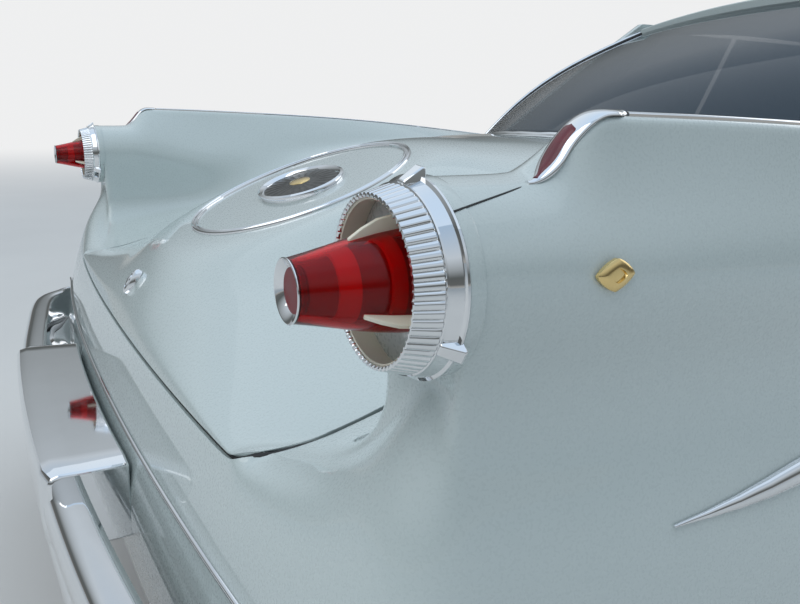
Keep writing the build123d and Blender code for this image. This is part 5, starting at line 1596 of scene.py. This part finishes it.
def backdrop():
    """A plain pale background. Bright pieces see a darker band at the horizon and a bluish top."""
    world = bpy.data.worlds.new("studio")
    bpy.context.scene.world = world
    world.use_nodes = True
    nodes, links = world.node_tree.nodes, world.node_tree.links
    light = nodes["Background"]
    pale = nodes.new("ShaderNodeBackground")
    pale.inputs["Color"].default_value = PALE
    place = nodes.new("ShaderNodeTexCoord")
    split = nodes.new("ShaderNodeSeparateXYZ")
    links.new(place.outputs["Generated"], split.inputs["Vector"])
    span = nodes.new("ShaderNodeMapRange")
    span.inputs["From Min"].default_value, span.inputs["From Max"].default_value = -0.1, 1.0
    links.new(split.outputs["Z"], span.inputs["Value"])
    soft = nodes.new("ShaderNodeValToRGB")
    links.new(span.outputs["Result"], soft.inputs["Fac"])
    soft.color_ramp.elements[0].color = (0.13, 0.14, 0.15, 1)
    soft.color_ramp.elements[1].color = (0.60, 0.70, 0.80, 1)
    links.new(soft.outputs["Color"], light.inputs["Color"])
    sky = nodes.new("ShaderNodeValToRGB")
    links.new(span.outputs["Result"], sky.inputs["Fac"])
    sky.color_ramp.elements[0].color = (0.45, 0.45, 0.44, 1)
    sky.color_ramp.elements[1].color = (0.40, 0.55, 0.74, 1)
    for at, colour in ((0.09, (0.38, 0.38, 0.37)), (0.125, (0.13, 0.135, 0.135)), (0.24, (0.11, 0.12, 0.12)),
                       (0.36, (0.34, 0.37, 0.39)), (0.55, (0.60, 0.66, 0.72))):
        sky.color_ramp.elements.new(at).color = (*colour, 1)
    glossy = nodes.new("ShaderNodeBackground")
    links.new(sky.outputs["Color"], glossy.inputs["Color"])
    bright = seen_directly(nodes, links, ["Is Glossy Ray"])
    part = mixed(nodes, links, bright, light.outputs[0], glossy.outputs[0])
    direct = seen_directly(nodes, links, ["Is Camera Ray", "Is Transmission Ray"])
    whole = mixed(nodes, links, direct, part, pale.outputs[0])
    links.new(whole, nodes["World Output"].inputs["Surface"])


def studio_floor():
    """A pale floor that fades into the background far from the car."""
    made = material("studio_floor", (0.70, 0.695, 0.68), 0.7, vary=0.03, scale=0.8)
    nodes, links = made.node_tree.nodes, made.node_tree.links
    place = nodes.new("ShaderNodeTexCoord")
    away = nodes.new("ShaderNodeVectorMath")
    away.operation = "LENGTH"
    links.new(place.outputs["Object"], away.inputs[0])
    fade = nodes.new("ShaderNodeMapRange")
    fade.interpolation_type = "SMOOTHSTEP"
    fade.inputs["From Min"].default_value, fade.inputs["From Max"].default_value = 3.5, 22.0
    links.new(away.outputs["Value"], fade.inputs["Value"])
    direct = seen_directly(nodes, links, ["Is Camera Ray", "Is Transmission Ray"])
    share = nodes.new("ShaderNodeMath")
    share.operation = "MULTIPLY"
    links.new(fade.outputs["Result"], share.inputs[0])
    links.new(direct, share.inputs[1])
    glow = nodes.new("ShaderNodeEmission")
    glow.inputs["Color"].default_value = PALE
    whole = mixed(nodes, links, share.outputs[0], nodes["Principled BSDF"].outputs[0], glow.outputs[0])
    links.new(whole, nodes["Material Output"].inputs["Surface"])
    mesh = bpy.data.meshes.new("floor")
    far = 60
    mesh.from_pydata([(-far, -far, 0), (far, -far, 0), (far, far, 0), (-far, far, 0)], [], [[0, 1, 2, 3]])
    floor = bpy.data.objects.new("floor", mesh)
    bpy.context.scene.collection.objects.link(floor)
    mesh.materials.append(made)


def surroundings():
    """The background, the floor and the lights."""
    backdrop()
    studio_floor()
    lamp("key", (-1.5, 8.0, 7.5), (0, 1.4, 0.6), (9.0, 7.0), 250, (1.0, 0.98, 0.95))
    lamp("top", (0.8, 0.5, 8.0), (0, 0, 0.5), (10.0, 14.0), 130, (0.93, 0.97, 1.0))
    lamp("fill", (1.0, -11.0, 6.0), (0, 0, 0.6), (9.0, 7.0), 190, (0.95, 0.97, 1.0))


camera()
surroundings()
view = bpy.context.scene.view_settings
view.view_transform = "Standard"
